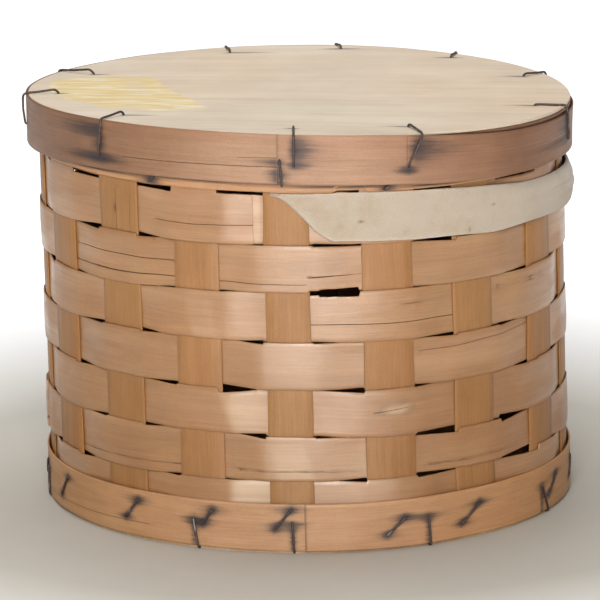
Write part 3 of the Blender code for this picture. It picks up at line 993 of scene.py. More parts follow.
def wire_stain(azimuth, height):
    """Iron stain round the wires of the bottom hoop, smeared along the grain."""
    total = 0.0
    for top_azimuth, top, foot_azimuth, foot in HOOP_WIRE_ENDS:
        share = held((height - foot) / (top - foot))
        off = hoop_gap(azimuth, mix(foot_azimuth, top_azimuth, share))
        strength, reach, rise = SHANK_STAIN
        total += strength * math.exp(-off / reach - max(height - top, foot - height, 0.0) / rise)
        ends = ((top_azimuth, top, TOP_STAIN), (foot_azimuth, foot, FOOT_STAIN))
        for end_azimuth, end, (strength, reach, rise) in ends:
            off = hoop_gap(azimuth, end_azimuth)
            total += strength * math.exp(-off / reach - ((height - end) / rise) ** 2)
    strength, reach, rise = EDGE_STAIN
    for top_azimuth, _ in FOOT_WIRES:
        off = hoop_gap(azimuth, top_azimuth)
        above = max(height - FOOT_WIRE_TOP, 0.0)
        smear = EDGE_SMEAR[0] * math.exp(-((height - FOOT_WIRE_TOP) / EDGE_SMEAR[1]) ** 2)
        total += strength * math.exp(-off / (reach + smear) - above / rise)
    return min(total, STAIN_LIMIT)


RIM_WIRES = (17.4, 77, 118, 160, 201, 243, 285, 327)      # azimuths in degrees
RIM_WIRE_LOW = 0.0016          # how far a rim wire's lower end is above the hoop's lower edge
LAPPED_RIM_WIRE = 4            # the one beside the rim hoop's lap, which has to stand further out
# The painted shadow line on the rim's hoop under the lid's band
BAND_SHADOW_LINE = (0.85, 0.0022, 0.0011) # strength, depth below the band's edge and half width of the line
RIM_STAIN = (1.1, 0.008, 0.004)


def rim_shadow_and_stains(azimuth, height):
    """A dark line painted on the rim's hoop just under the lid's band as its shadow, and iron stains at
    its wires.
    """
    strength, below, half = BAND_SHADOW_LINE
    shelter = lid_point(LID_RADIUS, azimuth, -LID_HEIGHT).z - below
    total = strength * math.exp(-((shelter - height) / half) ** 2)
    strength, reach, spread = RIM_STAIN
    for degrees in RIM_WIRES:
        off = hoop_gap(azimuth, degrees + 0.6)
        rise = height - rim_hoop_low(azimuth) - RIM_WIRE_LOW - 0.0015
        total = max(total, strength * math.exp(-off / reach - (rise / spread) ** 2))
    return total


def hoop_wire_ends():
    """(azimuth in degrees, height) of the upper and of the lower end of each stake's wire."""
    ends = []
    for stake in range(STAKES):
        index = front_place(stake)
        if index in HOOP_WIRES:
            top_azimuth, top, foot_azimuth, foot = HOOP_WIRES[index]
        else:
            top_azimuth = math.degrees(stake_azimuth(stake)) + 2.0 * wobble(9, index * 1.7)
            foot_azimuth = top_azimuth - 3.6 + 1.2 * wobble(10, index * 2.3)
            top, foot = 31.0 + 2.5 * wobble(12, index * 1.9), 15.0 + 2.5 * wobble(13, index * 2.1)
        ends.append((top_azimuth, top * MM, foot_azimuth, foot * MM))
    return ends


HOOP_WIRE_ENDS = hoop_wire_ends()


def make_hoop(name, node, radius, edges, seed, lap, reach, splits=(), stain=None):
    """A bent hoop whose outer end laps over its inner end. edges(azimuth) gives low and high; stain
    gives its iron stains, and on the rim's hoop also a painted shadow line.
    """
    stations = steps(lap, lap + math.tau + reach, STAINED_STEPS if stain else HOOP_STEPS)

    def place_point(azimuth, share, depth):
        low, high = edges(azimuth)
        raised = lap_rise(azimuth - lap, reach)
        outside = radius + LAP_RISE * HOOP_THICKNESS * raised
        outside += HOOP_WAVE * wobble(seed, 2.3 * azimuth, share) * (1 if raised == 0 else 0.3)
        return hamper_point(outside - depth * HOOP_THICKNESS, azimuth, mix(low, high, share))

    def marks(azimuth, share):
        low, high = edges(azimuth)
        shown = stain and azimuth < lap + math.tau
        edge = 0.7 if azimuth < lap + 0.001 else 0.0
        return (stain(azimuth, mix(low, high, share)) if shown else 0.0), edge, 0.0

    add_splint(
        name, HOOP_LOOK, "hamper", node, stations, edges(0.0)[1] - edges(0.0)[0],
        place_point, lambda azimuth: azimuth * radius, seed, splits, marks,
        rows=STAINED_ROWS if stain else FACE_ROWS,
    )


def make_hoops():
    crack = ((math.radians(360 - 74), math.radians(360 - 37), 0.20, 0.30, 0.3, 0.5, 0.7),)

    def bottom_edges(azimuth):
        top = BOTTOM_HOOP[1] + 0.0005 * wobble(81, 1.9 * azimuth)
        return BOTTOM_HOOP[0] + 0.0003 * wobble(82, 2.7 * azimuth), top

    def top_edges(azimuth):
        return rim_hoop_low(azimuth) + 0.0002 * wobble(83, 6.0 * azimuth), RIM_TOP

    make_hoop(
        "bottom_hoop_outside", "bottom_outer_hoop", HOOP_RADIUS, bottom_edges, 51,
        HOOP_LAP, HOOP_LAP_REACH, crack, wire_stain,
    )
    make_hoop(
        "bottom_hoop_inside", "bottom_inner_hoop", INNER_HOOP_RADIUS - HOOP_THICKNESS,
        lambda azimuth: BOTTOM_INNER_HOOP, 52, math.radians(150), math.radians(14),
    )
    make_hoop(
        "rim_hoop_outside", "top_outer_hoop", HOOP_RADIUS, top_edges, 53,
        math.radians(170), math.radians(22), (), rim_shadow_and_stains,
    )
    make_hoop(
        "rim_hoop_inside", "top_inner_hoop", INNER_HOOP_RADIUS - HOOP_THICKNESS,
        lambda azimuth: TOP_INNER_HOOP, 54, math.radians(60), math.radians(16),
    )


def make_hoop_wires():
    for number, ends in enumerate(HOOP_WIRE_ENDS, 1):
        top_azimuth, top, foot_azimuth, foot = ends
        first, last = math.radians(top_azimuth), math.radians(foot_azimuth)
        route = []
        for share, lift in ((0, -1.6), (0, 0.75), (0.35, 1), (0.7, 0.9), (1, 0.75), (1, -1.6)):
            azimuth = mix(first, last, share)
            radius = hoop_surface(azimuth) + lift * WIRE_RADIUS
            route.append((radius, azimuth, mix(top, foot, share)))
        add_wire(f"hoop_wire_{number:02d}", route, "hamper")


def make_foot_wires():
    low = WIRE_RADIUS + 2 * FLOOR_AIR
    for number, (top_azimuth, foot_azimuth) in enumerate(FOOT_WIRES, 1):
        first, last = math.radians(top_azimuth), math.radians(foot_azimuth)
        top = FOOT_WIRE_TOP - 0.002 * abs(wobble(14, number))
        outside = hoop_surface(first) + WIRE_RADIUS
        foot_radius = hoop_surface(last) + WIRE_RADIUS
        route = [
            (outside - WIRE_END, first - 0.004, top + 0.0003),
            (outside, first, top),
            (outside + 0.0004, mix(first, last, 0.5), 0.5 * top),
            (foot_radius + 0.0002, last, low + 0.0012),
            (foot_radius - 0.0012, last, low),
            (BASE_RADIUS - 0.0012, last, low),
        ]
        add_wire(f"foot_wire_{number:02d}", route, "hamper", f"base_staple_{number:02d}")


def make_rim_wires():
    """Short wires that clamp the rim; the lid's band hides all but the ends of a few."""
    for number, degrees in enumerate(RIM_WIRES, 1):
        azimuth = math.radians(degrees)
        outside = HOOP_RADIUS + WIRE_RADIUS + 0.0003
        if number == LAPPED_RIM_WIRE:
            outside += HOOP_THICKNESS
        low = rim_hoop_low(azimuth) + RIM_WIRE_LOW
        route = [
            (outside - WIRE_END, azimuth - 0.002, low),
            (outside, azimuth, low),
            (outside, azimuth + 0.02, low + 0.0035),
            (outside, azimuth + 0.03, low + 0.0142),
            (outside - WIRE_END, azimuth + 0.031, low + 0.0147),
        ]
        add_wire(f"rim_wire_{number:02d}", route, "hamper")


# ---------------------------------------------------------------- boards

BOARD_ROUNDING = 0.0005        # how far in from its edge a board is rounded
BOARD_ROWS = 92
BOARD_COLUMNS = 96
CRACK_HALF = 0.0003
CRACK_DEPTH = 0.0007


def disc(name, radius, top, bottom, cracks, look, body, node, marks):
    """A thin round board whose grain runs along X, with cracks (start x, end x, y) as grooves."""
    size = radius - BOARD_ROUNDING
    ys = [-size * math.cos(math.pi * i / BOARD_ROWS) for i in range(BOARD_ROWS + 1)]
    for _, _, y in cracks:
        ys = [value for value in ys if abs(value - y) > 4 * CRACK_HALF]
        ys += [y - CRACK_HALF, y, y + CRACK_HALF]
    ys.sort()
    crack_rows = {y: (start, end) for start, end, y in cracks}
    shift = LEAN * LID_TOP if body == "lid" else 0.0
    points, grain, mark_values = [], [], []

    def add(x, y, height, dark=0.0):
        points.append(Vector((x + shift, y, height)))
        grain.append((x, y, 3.0))
        stain, residue = marks(x, y)
        mark_values.append((stain, dark, residue))
        return len(points) - 1

    def face_grid(height, upper):
        grid = []
        for y in ys:
            reach = math.sqrt(max(size * size - y * y, (0.02 * size) ** 2))
            line = []
            for j in range(BOARD_COLUMNS + 1):
                x = -reach * math.cos(math.pi * j / BOARD_COLUMNS)
                dark, drop = 0.0, 0.0
                if upper and y in crack_rows:
                    start, end = crack_rows[y]
                    dark = hump(x, start, end, 0.003)
                    drop = CRACK_DEPTH * dark
                line.append(add(x, y, height(x, y) - drop, dark))
            grid.append(line)
        return grid

    upper, lower = face_grid(top, True), face_grid(bottom, False)
    faces = []
    for grid in (upper, lower):
        for i in range(len(grid) - 1):
            for j in range(BOARD_COLUMNS):
                faces.append((grid[i][j], grid[i][j + 1], grid[i + 1][j + 1], grid[i + 1][j]))

    def outline(grid):
        right = [line[-1] for line in grid]
        left = [line[0] for line in reversed(grid)]
        return grid[0] + right[1:-1] + grid[-1][::-1] + left[1:-1]

    above, below = outline(upper), outline(lower)
    waist = []
    for high, low in zip(above, below):
        place = (points[high] + points[low]) / 2
        x = place.x - shift
        scale = radius / max(math.hypot(x, place.y), 1e-6)
        waist.append(add(x * scale, place.y * scale, place.z))
    count = len(waist)
    for i in range(count):
        j = (i + 1) % count
        faces.append((above[i], above[j], waist[j], waist[i]))
        faces.append((waist[i], waist[j], below[j], below[i]))
    return add_piece(name, points, faces, look, body, [node], grain, mark_values)


def make_base():
    disc(
        "base_board", BASE_RADIUS, lambda x, y: BASE_TOP, lambda x, y: FLOOR_AIR, (), BASE_LOOK,
        "hamper", "base_panel", lambda x, y: (0.0, 0.0),
    )


# ---------------------------------------------------------------- lid

LID_LAP = math.radians(-4.45)
LID_LAP_REACH = math.radians(24)
BAND_STEPS = 680
BAND_ROWS = 12
BARED_ROWS = 40                # rows of the inner band, whose bared edge has a sharp outline
LID_SEAM = math.radians(21.8)  # a dark crack across the band beside a wire
LID_SEAM_SPAN = (0.002, 0.025) # from how far below the lid's face to how far
# Wires over the lid's edge. Inner end: radius in mm and azimuth in degrees; azimuth where the wire
# crosses the edge; azimuth at the foot and how far below the lid's face it is in mm; how far the
# wire bows up off the board in mm; how far it stands off the band in mm.
LID_WIRES = (
    (192.5, -1.3, -1.1, -1.1, 24.0, 1.5, 0.3), (190.8, 26.4, 25.0, 22.2, 25.5, 1.4, 0.5),
    (198.9, 71.3, 73.8, 75.6, 28.0, 0.3, 0.6), (198.6, 110.5, 113.0, 114.0, 6.0, 1.2, 0.8),
    (202.0, 140.4, 143.0, 143.5, 5.0, 1.0, 0.6), (203.0, 169.8, 171.9, 172.4, 9.0, 2.0, 0.4),
    (193.0, -162.2, -163.5, -163.8, 10.0, 2.2, 0.4),
    (187.0, -114.3, -116.1, -116.5, 14.0, 3.0, 0.5), (196.0, -82.7, -83.2, -83.4, 24.0, 2.6, 1.6),
    (193.5, -45.3, -43.8, -44.6, 28.0, 2.4, 0.3),
)
# The wire through the band's lap: azimuth and mm below the top at its upper end, azimuth at its foot
SEAM_WIRE = (-3.9, 20.0, -3.5)
# Dark cracks in the board from where a wire enters it: how far to the left and to the right, in mm
LID_CRACKS = (
    (6, 2), (18, 2), (22, 1), (17, 2), (12, 8), (16, 18), (4, 38), (1, 12), (1, 7), (1, 28),
)
# Iron stains on the lid's outer band: azimuth, depth below the top in mm, reach to the left and to
# the right in degrees, half height in mm, strength
LID_STAINS = (
    (-45.0, 9.0, 13.0, 1.5, 7.0, 0.8), (-44.0, 30.0, 10.0, 6.0, 4.5, 1.0),
    (-44.5, 19.0, 3.0, 2.0, 12.0, 0.65), (-1.0, 12.0, 1.2, 4.5, 11.0, 0.95),
    (-1.0, 24.0, 2.0, 3.4, 3.5, 0.9), (-4.3, 32.0, 2.2, 2.4, 9.0, 0.8),
    (-4.0, 22.0, 5.5, 1.5, 3.0, 0.62), (24.0, 12.0, 2.0, 7.0, 12.0, 0.8),
    (25.0, 14.0, 1.5, 13.0, 6.0, 0.6), (22.2, 28.0, 3.0, 2.2, 3.5, 0.95),
    (76.0, 14.0, 9.0, 2.0, 13.0, 0.72), (75.0, 26.0, 17.0, 2.0, 4.0, 0.66),
    (-83.0, 22.0, 3.0, 8.0, 5.0, 0.35), (114.0, 14.0, 5.0, 6.0, 8.0, 0.6),
    (143.0, 12.0, 6.0, 4.0, 8.0, 0.6), (172.0, 16.0, 5.0, 5.0, 9.0, 0.7),
    (196.5, 14.0, 4.0, 6.0, 8.0, 0.65), (243.5, 18.0, 5.0, 5.0, 9.0, 0.7),
)
# Corners of the dried glue on the board, as radius in mm and azimuth
GLUE_PATCH = (
    (209, -103), (203, -88), (195, -75), (184, -65), (184, -56), (166, -48), (148, -42), (123, -36),
    (106, -51), (101, -75), (113, -100), (136, -117), (158, -115), (187, -111),
)


def lid_band_surface(azimuth):
    return lapped_radius(LID_RADIUS, BAND_THICKNESS, azimuth, LID_LAP, LID_LAP_REACH)


def band_droop(degrees):
    """How far the outer band's upper edge has slipped below the board, at the right."""
    return 0.0056 * ease((degrees - 12) / 42) * ease((160 - degrees) / 60)


def make_outer_band():
    seam = [LID_SEAM + step * 0.0006 for step in range(-3, 4)]
    stations = sorted(steps(LID_LAP, LID_LAP + math.tau + LID_LAP_REACH, BAND_STEPS) + seam)

    def edges(azimuth):
        degrees = math.degrees(wrap(azimuth))
        under = azimuth > LID_LAP + math.tau + 0.01
        high = -band_droop(degrees) + 0.00025 * wobble(91, 3.0 * azimuth)
        low = -LID_HEIGHT - 0.0014 * hump(degrees, 31, 56, 12) - 0.0008 * hump(degrees, -75, -62, 12)
        return low + (0.0006 if under else 0.0), high - (0.0004 if under else 0.0)

    def place_point(azimuth, share, depth):
        low, high = edges(azimuth)
        raised = lap_rise(azimuth - LID_LAP, LID_LAP_REACH)
        radius = LID_RADIUS + LAP_RISE * BAND_THICKNESS * raised - depth * BAND_THICKNESS
        degrees = math.degrees(wrap(azimuth))
        radius += 0.0007 * hump(degrees, 40, 120, 30) * share ** 2
        radius += 0.0003 * wobble(92, 2.0 * azimuth, share) * (1 - raised)
        return lid_point(radius, azimuth, mix(low, high, share))

    def marks(azimuth, share):
        low, high = edges(azimuth)
        if azimuth > LID_LAP + math.tau:
            return 0.0, 0.0, 0.0
        degrees = math.degrees(azimuth)
        depth = -mix(low, high, share)
        total = 0.0
        for middle, down, left, right, half, strength in LID_STAINS:
            off = math.degrees(wrap(math.radians(degrees - middle)))
            side = off / right if off > 0 else -off / left
            rise = (depth - down * MM) / (half * MM)
            total = max(total, strength * math.exp(-1.25 * side ** 1.3 - rise * rise * 0.9))
        bare = abs(azimuth - LID_SEAM) > 0.0010 or not LID_SEAM_SPAN[0] < depth < LID_SEAM_SPAN[1]
        edge = 0.5 if azimuth < LID_LAP + 0.001 else 0.0
        return total, (edge if bare else 0.9), 0.0

    full = math.tau
    splits = (
        (full + math.radians(-37), full + math.radians(-4.6), 0.31, 0.34, 0.4, 0.5, 0.8),
        (full + math.radians(-12), full + math.radians(-4.6), 0.51, 0.525, 0.3, 0.4, 0.6),
    )
    add_splint(
        "lid_hoop_outside", BAND_LOOK, "lid", "lid_outer_band", stations, LID_HEIGHT,
        place_point, lambda azimuth: azimuth * LID_RADIUS, 55, splits, marks, rows=BAND_ROWS,
    )


def make_inner_band():
    radius = LID_RADIUS - BAND_THICKNESS - LID_AIR
    lap = math.radians(200)
    reach = math.radians(18)
    stations = steps(lap, lap + math.tau + reach, HOOP_STEPS)
    board = -LID_THICKNESS - LID_AIR

    def place_point(azimuth, share, depth):
        raised = lap_rise(azimuth - lap, reach)
        inward = BAND_THICKNESS * (1 - raised) * ease((azimuth - lap - math.tau + 0.1) / 0.1)
        return lid_point(
            radius - depth * BAND_THICKNESS - LAP_RISE * inward, azimuth,
            mix(0.0012 - LID_HEIGHT, board, share),
        )

    # The foot of the bared strip above the outer band is darkened in the crack channel: a painted
    # shadow line in the gap between the bands
    def marks(azimuth, share):
        depth = -mix(0.0012 - LID_HEIGHT, board, share)
        droop = band_droop(math.degrees(wrap(azimuth)))
        bared = droop > 0.0008 and depth < droop + 0.0004
        return 0.0, (0.9 * ease((depth - droop + 0.0018) / 0.0012) if bared else 0.0), 0.0

    add_splint(
        "lid_hoop_inside", BAND_LOOK, "lid", "lid_inner_band", stations, LID_HEIGHT,
        place_point, lambda azimuth: azimuth * radius, 56, (), marks, rows=BARED_ROWS,
    )


def polar(radius, degrees):
    azimuth = math.radians(degrees)
    return radius * math.sin(azimuth), -radius * math.cos(azimuth)


def make_lid_board():
    radius = LID_RADIUS - BAND_THICKNESS - LID_AIR
    cracks, smudges = [], []
    for (inner, azimuth, *_), (left, right) in zip(LID_WIRES, LID_CRACKS):
        x, y = polar(inner * MM, azimuth)
        cracks.append((x - left * MM, x + right * MM, y))
        smudges.append((x, y, (left + 4) * MM, (right + 4) * MM))
    patch = [Vector(polar(size * MM, degrees)) for size, degrees in GLUE_PATCH]

    def inside(x, y):
        """How far inside the glue patch a point is, in metres; negative outside it."""
        spot = Vector((x, y))
        crossed = False
        nearest = 1.0
        for first, last in zip(patch, patch[1:] + patch[:1]):
            side = last - first
            share = held((spot - first).dot(side) / side.dot(side))
            nearest = min(nearest, (spot - first - side * share).length)
            if (first.y > y) != (last.y > y):
                crossed ^= x < first.x + (y - first.y) / (last.y - first.y) * side.x
        return nearest if crossed else -nearest

    def marks(x, y):
        stain = 0.0
        for spot_x, spot_y, left, right in smudges:
            off = (x - spot_x) / (right if x > spot_x else left)
            stain = max(stain, 0.62 * math.exp(-1.4 * off * off - ((y - spot_y) / 0.0035) ** 2))
        torn = 1 - 0.45 * hump(x, -0.142, -0.127, 0.010)
        return stain, torn * ease(0.5 + inside(x, y) / 0.016)

    def top(x, y):
        return lid_surface(x, y) + 0.0002 * wobble(95, 9 * x, 14 * y)

    def bottom(x, y):
        return lid_surface(x, y) - LID_THICKNESS

    disc(
        "lid_board", radius, top, bottom, cracks, PANEL_LOOK, "lid", "lid_panel", marks
    )


def make_lid_wires():
    for number, values in enumerate(LID_WIRES, 1):
        inner, inner_azimuth, edge, foot, drop, bow, stand = values
        inner_azimuth, edge, foot = (math.radians(value) for value in (inner_azimuth, edge, foot))
        inner *= MM
        stand *= MM
        clear = WIRE_RADIUS + WIRE_AIR
        outside = lid_band_surface(edge) + clear
        foot_outside = lid_band_surface(foot) + clear
        droop = band_droop(math.degrees(wrap(edge)))
        lifted = clear + bow * MM
        route = [
            (inner, inner_azimuth, -0.0012),
            (inner + 0.0004, inner_azimuth, clear),
            (mix(inner, outside, 0.12), mix(inner_azimuth, edge, 0.12), lifted),
            (mix(inner, outside, 0.60), mix(inner_azimuth, edge, 0.60), mix(clear, lifted, 0.3)),
            (outside - 0.0006, edge, clear),
            (outside + stand, edge, -0.0012 - 0.5 * droop),
            (mix(outside, foot_outside, 0.5) + stand, mix(edge, foot, 0.5), -0.5 * drop * MM),
            (foot_outside + 0.0003, foot, (2.5 - drop) * MM),
            (foot_outside, foot, -drop * MM),
            (foot_outside - WIRE_END, foot, -(drop + 0.4) * MM),
        ]
        add_wire(f"lid_wire_{number:02d}", route, "lid", f"lid_staple_{number:02d}")
    top, down, foot = SEAM_WIRE
    first, last = math.radians(top), math.radians(foot)
    clear = WIRE_RADIUS + WIRE_AIR
    outside = LID_RADIUS + LAP_RISE * BAND_THICKNESS + clear
    route = [
        (outside - 0.0024, first, (-down + 0.3) * MM),
        (outside, first, -down * MM),
        (outside + 0.0002, mix(first, last, 0.6), -0.5 * (down * MM + LID_HEIGHT)),
        (outside, last, -LID_HEIGHT - 0.0008),
        (outside - 0.001, last, -LID_HEIGHT - clear),
        (LID_RADIUS - 0.0030, last, -LID_HEIGHT - clear),
    ]
    add_wire("lid_lap_wire", route, "lid", "lid_seam_staple")


# ---------------------------------------------------------------- strap

STRAP_WIDTH = 0.0380
STRAP_THICKNESS = 0.0012
STRAP_TAB_RADIUS = 0.2140
STRAP_END_RADIUS = 0.2156
STRAP_SIDE_RADIUS = 0.2212
STRAP_TOP_FRONT = 0.2884
STRAP_FOLD_MARGIN = 0.0010     # width of webbing that shows where the fold starts
STRAP_RIM = 0.0012             # how far in from its edges the webbing thins
STRAP_ROWS = 45
STRAP_STEP = math.radians(0.32)
STRAP_GAP = 0.0003             # between the webbing's end and the wall's face
END_BULGE = 0.0006
RIDGE = 0.0005
VALLEY = (0.0013, 0.60, 0.07)  # depth, height share and half width of the hollow along the side
CREASE_TOP = 0.2790            # the creases beside the fold start here and run down
CREASE_SLOPE = 0.18
CREASE_SPAN = (-0.035, 0.055, 0.04)        # azimuths of their ends, and how softly they end
CREASE_HALF = 0.0011
CREASES = ((0.0, 0.0012), (0.0038, 0.0008))    # distance below the first one, depth
# The strap's edges on the side that shows: azimuth in degrees, lower edge and upper edge in mm
STRAP_EDGES = (
    (-7.0, 250.7, 288.4), (9.4, 250.7, 288.4), (15.5, 249.0, 287.8), (23, 248.1, 286.8),
    (28, 247.7, 286.0), (33, 247.5, 285.0), (38, 246.0, 283.6), (44, 243.8, 282.0),
    (49, 244.6, 280.0), (56, 245.5, 277.8), (65, 244.0, 276.2), (73, 242.3, 275.4),
    (80, 240.5, 274.7), (90, 239.5, 274.2),
)
STRAP_START = math.radians(-6.3)
STRAP_FOLD_END = math.radians(7.3)
STRAP_TAB_TOP = 0.3040
STRAP_TAB_MARGIN = 0.0012      # how far a stapled end reaches below the fold
# Spots on the webbing: azimuth in degrees, height in metres, half width and half height in mm, how
# dark, and whether the spot is a slit, which is painted dark as the shade in the cut
STRAP_SPOTS = (
    (12.2, 0.2654, 2.1, 0.9, 1.0, False), (37.1, 0.2499, 0.7, 2.1, 1.0, True),
    (43.6, 0.2671, 1.8, 0.8, 0.85, False), (8.0, 0.262, 3.0, 2.0, 0.16, False),
    (22.0, 0.255, 2.5, 1.2, 0.14, False),
)


def strap_edge(degrees, column):
    """Height of the strap's lower edge, column 1, or of its upper edge, column 2."""
    total = 0.0
    for step in (-3.0, -1.5, 0.0, 1.5, 3.0):
        here = min(max(degrees + step, STRAP_EDGES[0][0]), STRAP_EDGES[-1][0])
        for before, after in zip(STRAP_EDGES, STRAP_EDGES[1:]):
            if before[0] <= here <= after[0]:
                share = (here - before[0]) / (after[0] - before[0])
                total += mix(before[column], after[column], share) * MM
                break
    return total / 5


def fold_low(azimuth):
    """The slanting lower edge where the webbing's end is folded over."""
    fallen = ease((azimuth - STRAP_START) / (STRAP_FOLD_END - STRAP_START))
    return STRAP_TOP_FRONT - STRAP_FOLD_MARGIN - (STRAP_WIDTH - STRAP_FOLD_MARGIN) * fallen


def make_strap():
    fine = [STRAP_START + STRAP_STEP * i for i in range(167)]
    rear = [math.pi - azimuth for azimuth in reversed(fine)]
    stations = fine + steps(fine[-1], rear[0], 110)[1:-1] + rear

    def shape(azimuth):
        nearer = azimuth if azimuth < math.pi / 2 else math.pi - azimuth
        degrees = math.degrees(nearer)
        high = strap_edge(degrees, 2) + 0.0003 * wobble(61, 5 * azimuth)
        low = strap_edge(degrees, 1)
        if nearer < STRAP_FOLD_END:
            low = fold_low(nearer)
        low += 0.0004 * wobble(62, 6 * azimuth) * ease((nearer - STRAP_FOLD_END) / 0.2)
        return low, high, nearer

    def puff(azimuth, share, height, nearer):
        """How far the webbing stands off the wall: it bulges, is creased and has soft ridges."""
        degrees = math.degrees(nearer)
        aside = ease((degrees - 18) / 60)
        arch = max(1 - (2 * share - 1) ** 2, 0.0) ** 0.7
        total = (END_BULGE + (STRAP_SIDE_RADIUS - STRAP_END_RADIUS) * aside) * arch
        total += RIDGE * aside * math.sin(math.tau * (2.2 * share + 0.4 * math.sin(2.1 * azimuth)))
        deep, line, half = VALLEY
        total -= deep * ease((degrees - 48) / 25) * math.exp(-((share - line) / half) ** 2)
        total += RIDGE * wobble(63, 7 * azimuth, 1.5 * share) * arch
        line = CREASE_TOP - CREASE_SLOPE * WALL_RADIUS * (nearer - CREASE_SPAN[0])
        for below, deep in CREASES:
            off = (height - line + below) / CREASE_HALF
            total -= deep * hump(nearer, *CREASE_SPAN) * math.exp(-off ** 2)
        return total

    points, grain, marks = [], [], []
    for azimuth in stations:
        low, high, nearer = shape(azimuth)
        bottom = STRAP_TOP_FRONT - STRAP_WIDTH
        shares = steps(0.0, 1.0, STRAP_ROWS - 1)
        for face, order in ((0, shares), (1, shares[::-1])):
            for share in order:
                height = mix(low, high, share)
                rim = min(share, 1 - share) * (high - low)
                body = math.sqrt(max(0.0, 1 - (1 - min(rim / STRAP_RIM, 1.0)) ** 2))
                thickness = STRAP_THICKNESS * (0.35 + 0.65 * body)
                middle = STRAP_END_RADIUS + STRAP_GAP + puff(azimuth, share, height, nearer)
                size = middle + (0.5 - face) * thickness
                points.append(hamper_point(size, azimuth, height))
                across = share * STRAP_WIDTH if nearer > STRAP_FOLD_END else height - bottom
                grain.append((azimuth * WALL_RADIUS, across, 1.0))
                spot, slit = 0.0, 0.0
                for where, level, half_wide, half_high, dark, cut in STRAP_SPOTS:
                    off = (azimuth - math.radians(where)) * WALL_RADIUS / (half_wide * MM)
                    rise = (height - level) / (half_high * MM)
                    value = dark * math.exp(-off * off - rise * rise) * (1 - face)
                    spot = max(spot, 0.0 if cut else value)
                    slit = max(slit, value if cut else 0.0)
                pale = math.exp(-rim / 0.0011)
                marks.append((spot, slit, pale))
    strap = add_piece(
        "strap_webbing", points, strip_faces(len(stations), 2 * STRAP_ROWS), WEBBING_LOOK, "strap",
        ["carrying_strap"], grain, marks,
    )


def make_strap_tabs():
    """The webbing's two ends, which go up between the wall and the rim's outer hoop."""
    reach = 0.8 * (STRAP_FOLD_END - STRAP_START)
    for name, node, front in (("front", "strap_tab_front", True), ("rear", "strap_tab_rear", False)):
        stations = steps(STRAP_START, STRAP_START + reach, 30)
        if not front:
            stations = [math.pi - azimuth for azimuth in reversed(stations)]
        low_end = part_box(node)[0].z

        def place_point(azimuth, share, depth):
            low = fold_low(azimuth) - STRAP_TAB_MARGIN if front else low_end
            radius = STRAP_TAB_RADIUS + (0.5 - depth) * STRAP_THICKNESS
            radius += ROUGHNESS * wobble(66, 30 * azimuth, 3 * share)
            return hamper_point(radius, azimuth, mix(low, STRAP_TAB_TOP, share))

        tab = add_splint(
            f"strap_end_{name}", WEBBING_LOOK, "hamper", node,
            stations, STRAP_TAB_TOP - low_end, place_point, lambda azimuth: azimuth * WALL_RADIUS, 2,
        )


# ---------------------------------------------------------------- setting

CAMERA_PLACE = (0.0, -3.6049, 0.9858)
CAMERA_PITCH = math.radians(12.98)
CAMERA_YAW = math.radians(-0.11)
CAMERA_ROLL = math.radians(-0.56)
CAMERA_LENS = 269.28
FLOOR_REACH = 14.0
FLOOR_FADE = (0.34, 0.80)      # distances between which the floor turns to plain white


def make_floor():
    look = Look("pale_floor")
    x, y, _ = look.split(look.place)
    far = look.fit(look.math("SQRT", look.weigh((x, x), (y, y))), *FLOOR_FADE)
    haze = look.noise(look.place, 3.0, 4.0, 0.6)
    near = look.ramp(haze, ((0.3, (0.49, 0.46, 0.40)), (0.7, (0.55, 0.525, 0.465))))
    colour = look.blend(far, near, (0.93, 0.93, 0.94))
    glow = look.blend(far, (0.0, 0.0, 0.0), (0.5, 0.5, 0.5))
    look.put(look.shader.inputs["Emission Color"], glow)
    look.shader.inputs["Emission Strength"].default_value = 1.0
    material = look.finish(colour, look.fit(haze, 0.3, 0.7, 0.7, 0.6))
    corners = [(x * FLOOR_REACH, y * FLOOR_REACH, 0) for x, y in ((-1, -1), (1, -1), (1, 1), (-1, 1))]
    mesh = bpy.data.meshes.new("floor")
    mesh.from_pydata(corners, [], [(0, 1, 2, 3)])
    mesh.materials.append(material)
    floor = bpy.data.objects.new("floor", mesh)
    bpy.context.scene.collection.objects.link(floor)


LIGHT_AIM = Vector((0.0, 0.0, 0.15))


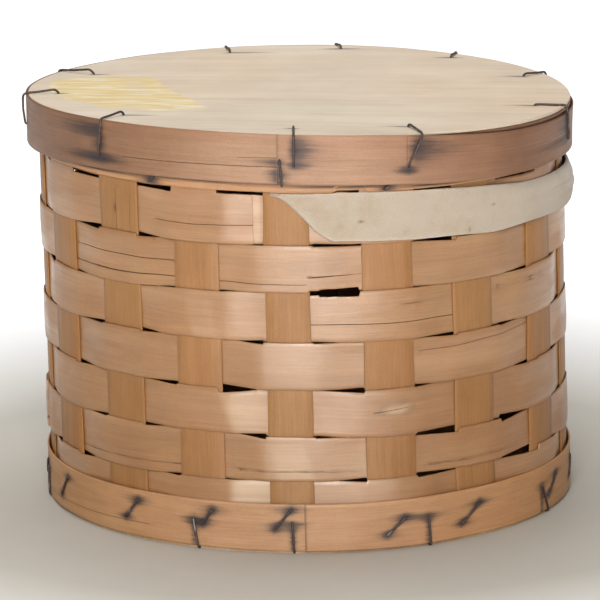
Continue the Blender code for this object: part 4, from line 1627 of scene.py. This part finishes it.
def add_area_light(name, place, size, power, colour=(1.0, 1.0, 1.0), diffuse=True):
    """A soft rectangular light; size is its width and height."""
    data = bpy.data.lights.new(name, "AREA")
    data.shape = "RECTANGLE"
    data.size, data.size_y = size
    data.energy = power
    data.color = colour
    light = bpy.data.objects.new(name, data)
    light.location = place
    light.rotation_euler = (LIGHT_AIM - Vector(place)).to_track_quat("-Z", "Y").to_euler()
    light.visible_diffuse = diffuse
    bpy.context.scene.collection.objects.link(light)


def make_lights():
    world = bpy.data.worlds.new("soft_daylight")
    world.use_nodes = True
    background = world.node_tree.nodes["Background"]
    background.inputs["Color"].default_value = (0.96, 0.98, 1.0, 1.0)
    background.inputs["Strength"].default_value = 0.30
    bpy.context.scene.world = world
    add_area_light("front_softbox", (-0.15, -3.3, 1.7), (1.1, 1.1), 74, (1.0, 0.985, 0.96))
    add_area_light("sheen_window", (0.3, -3.3, 0.45), (3.4, 0.5), 105, (1.0, 0.95, 0.88), False)
    add_area_light("overhead", (-0.3, 0.6, 3.0), (2.1, 2.1), 57)


def make_camera():
    data = bpy.data.cameras.new("camera")
    data.sensor_width = 36.0
    data.lens = CAMERA_LENS
    data.clip_end = 60.0
    camera = bpy.data.objects.new("camera", data)
    turn = Matrix.Rotation(-CAMERA_YAW, 4, "Z") @ Matrix.Rotation(math.pi / 2 - CAMERA_PITCH, 4, "X")
    camera.matrix_world = Matrix.Translation(CAMERA_PLACE) @ turn @ Matrix.Rotation(CAMERA_ROLL, 4, "Z")
    bpy.context.scene.collection.objects.link(camera)
    bpy.context.scene.camera = camera
    bpy.context.scene.view_settings.view_transform = "Standard"


# ---------------------------------------------------------------- the whole hamper

make_camera()
make_base()
for stake_number in range(1, STAKES + 1):
    make_stake(stake_number)
for row_number in range(1, ROWS + 1):
    make_weaver(row_number)
make_hoops()
make_hoop_wires()
make_foot_wires()
make_rim_wires()
make_lid_board()
make_inner_band()
make_outer_band()
make_lid_wires()
make_strap()
make_strap_tabs()
make_floor()
make_lights()
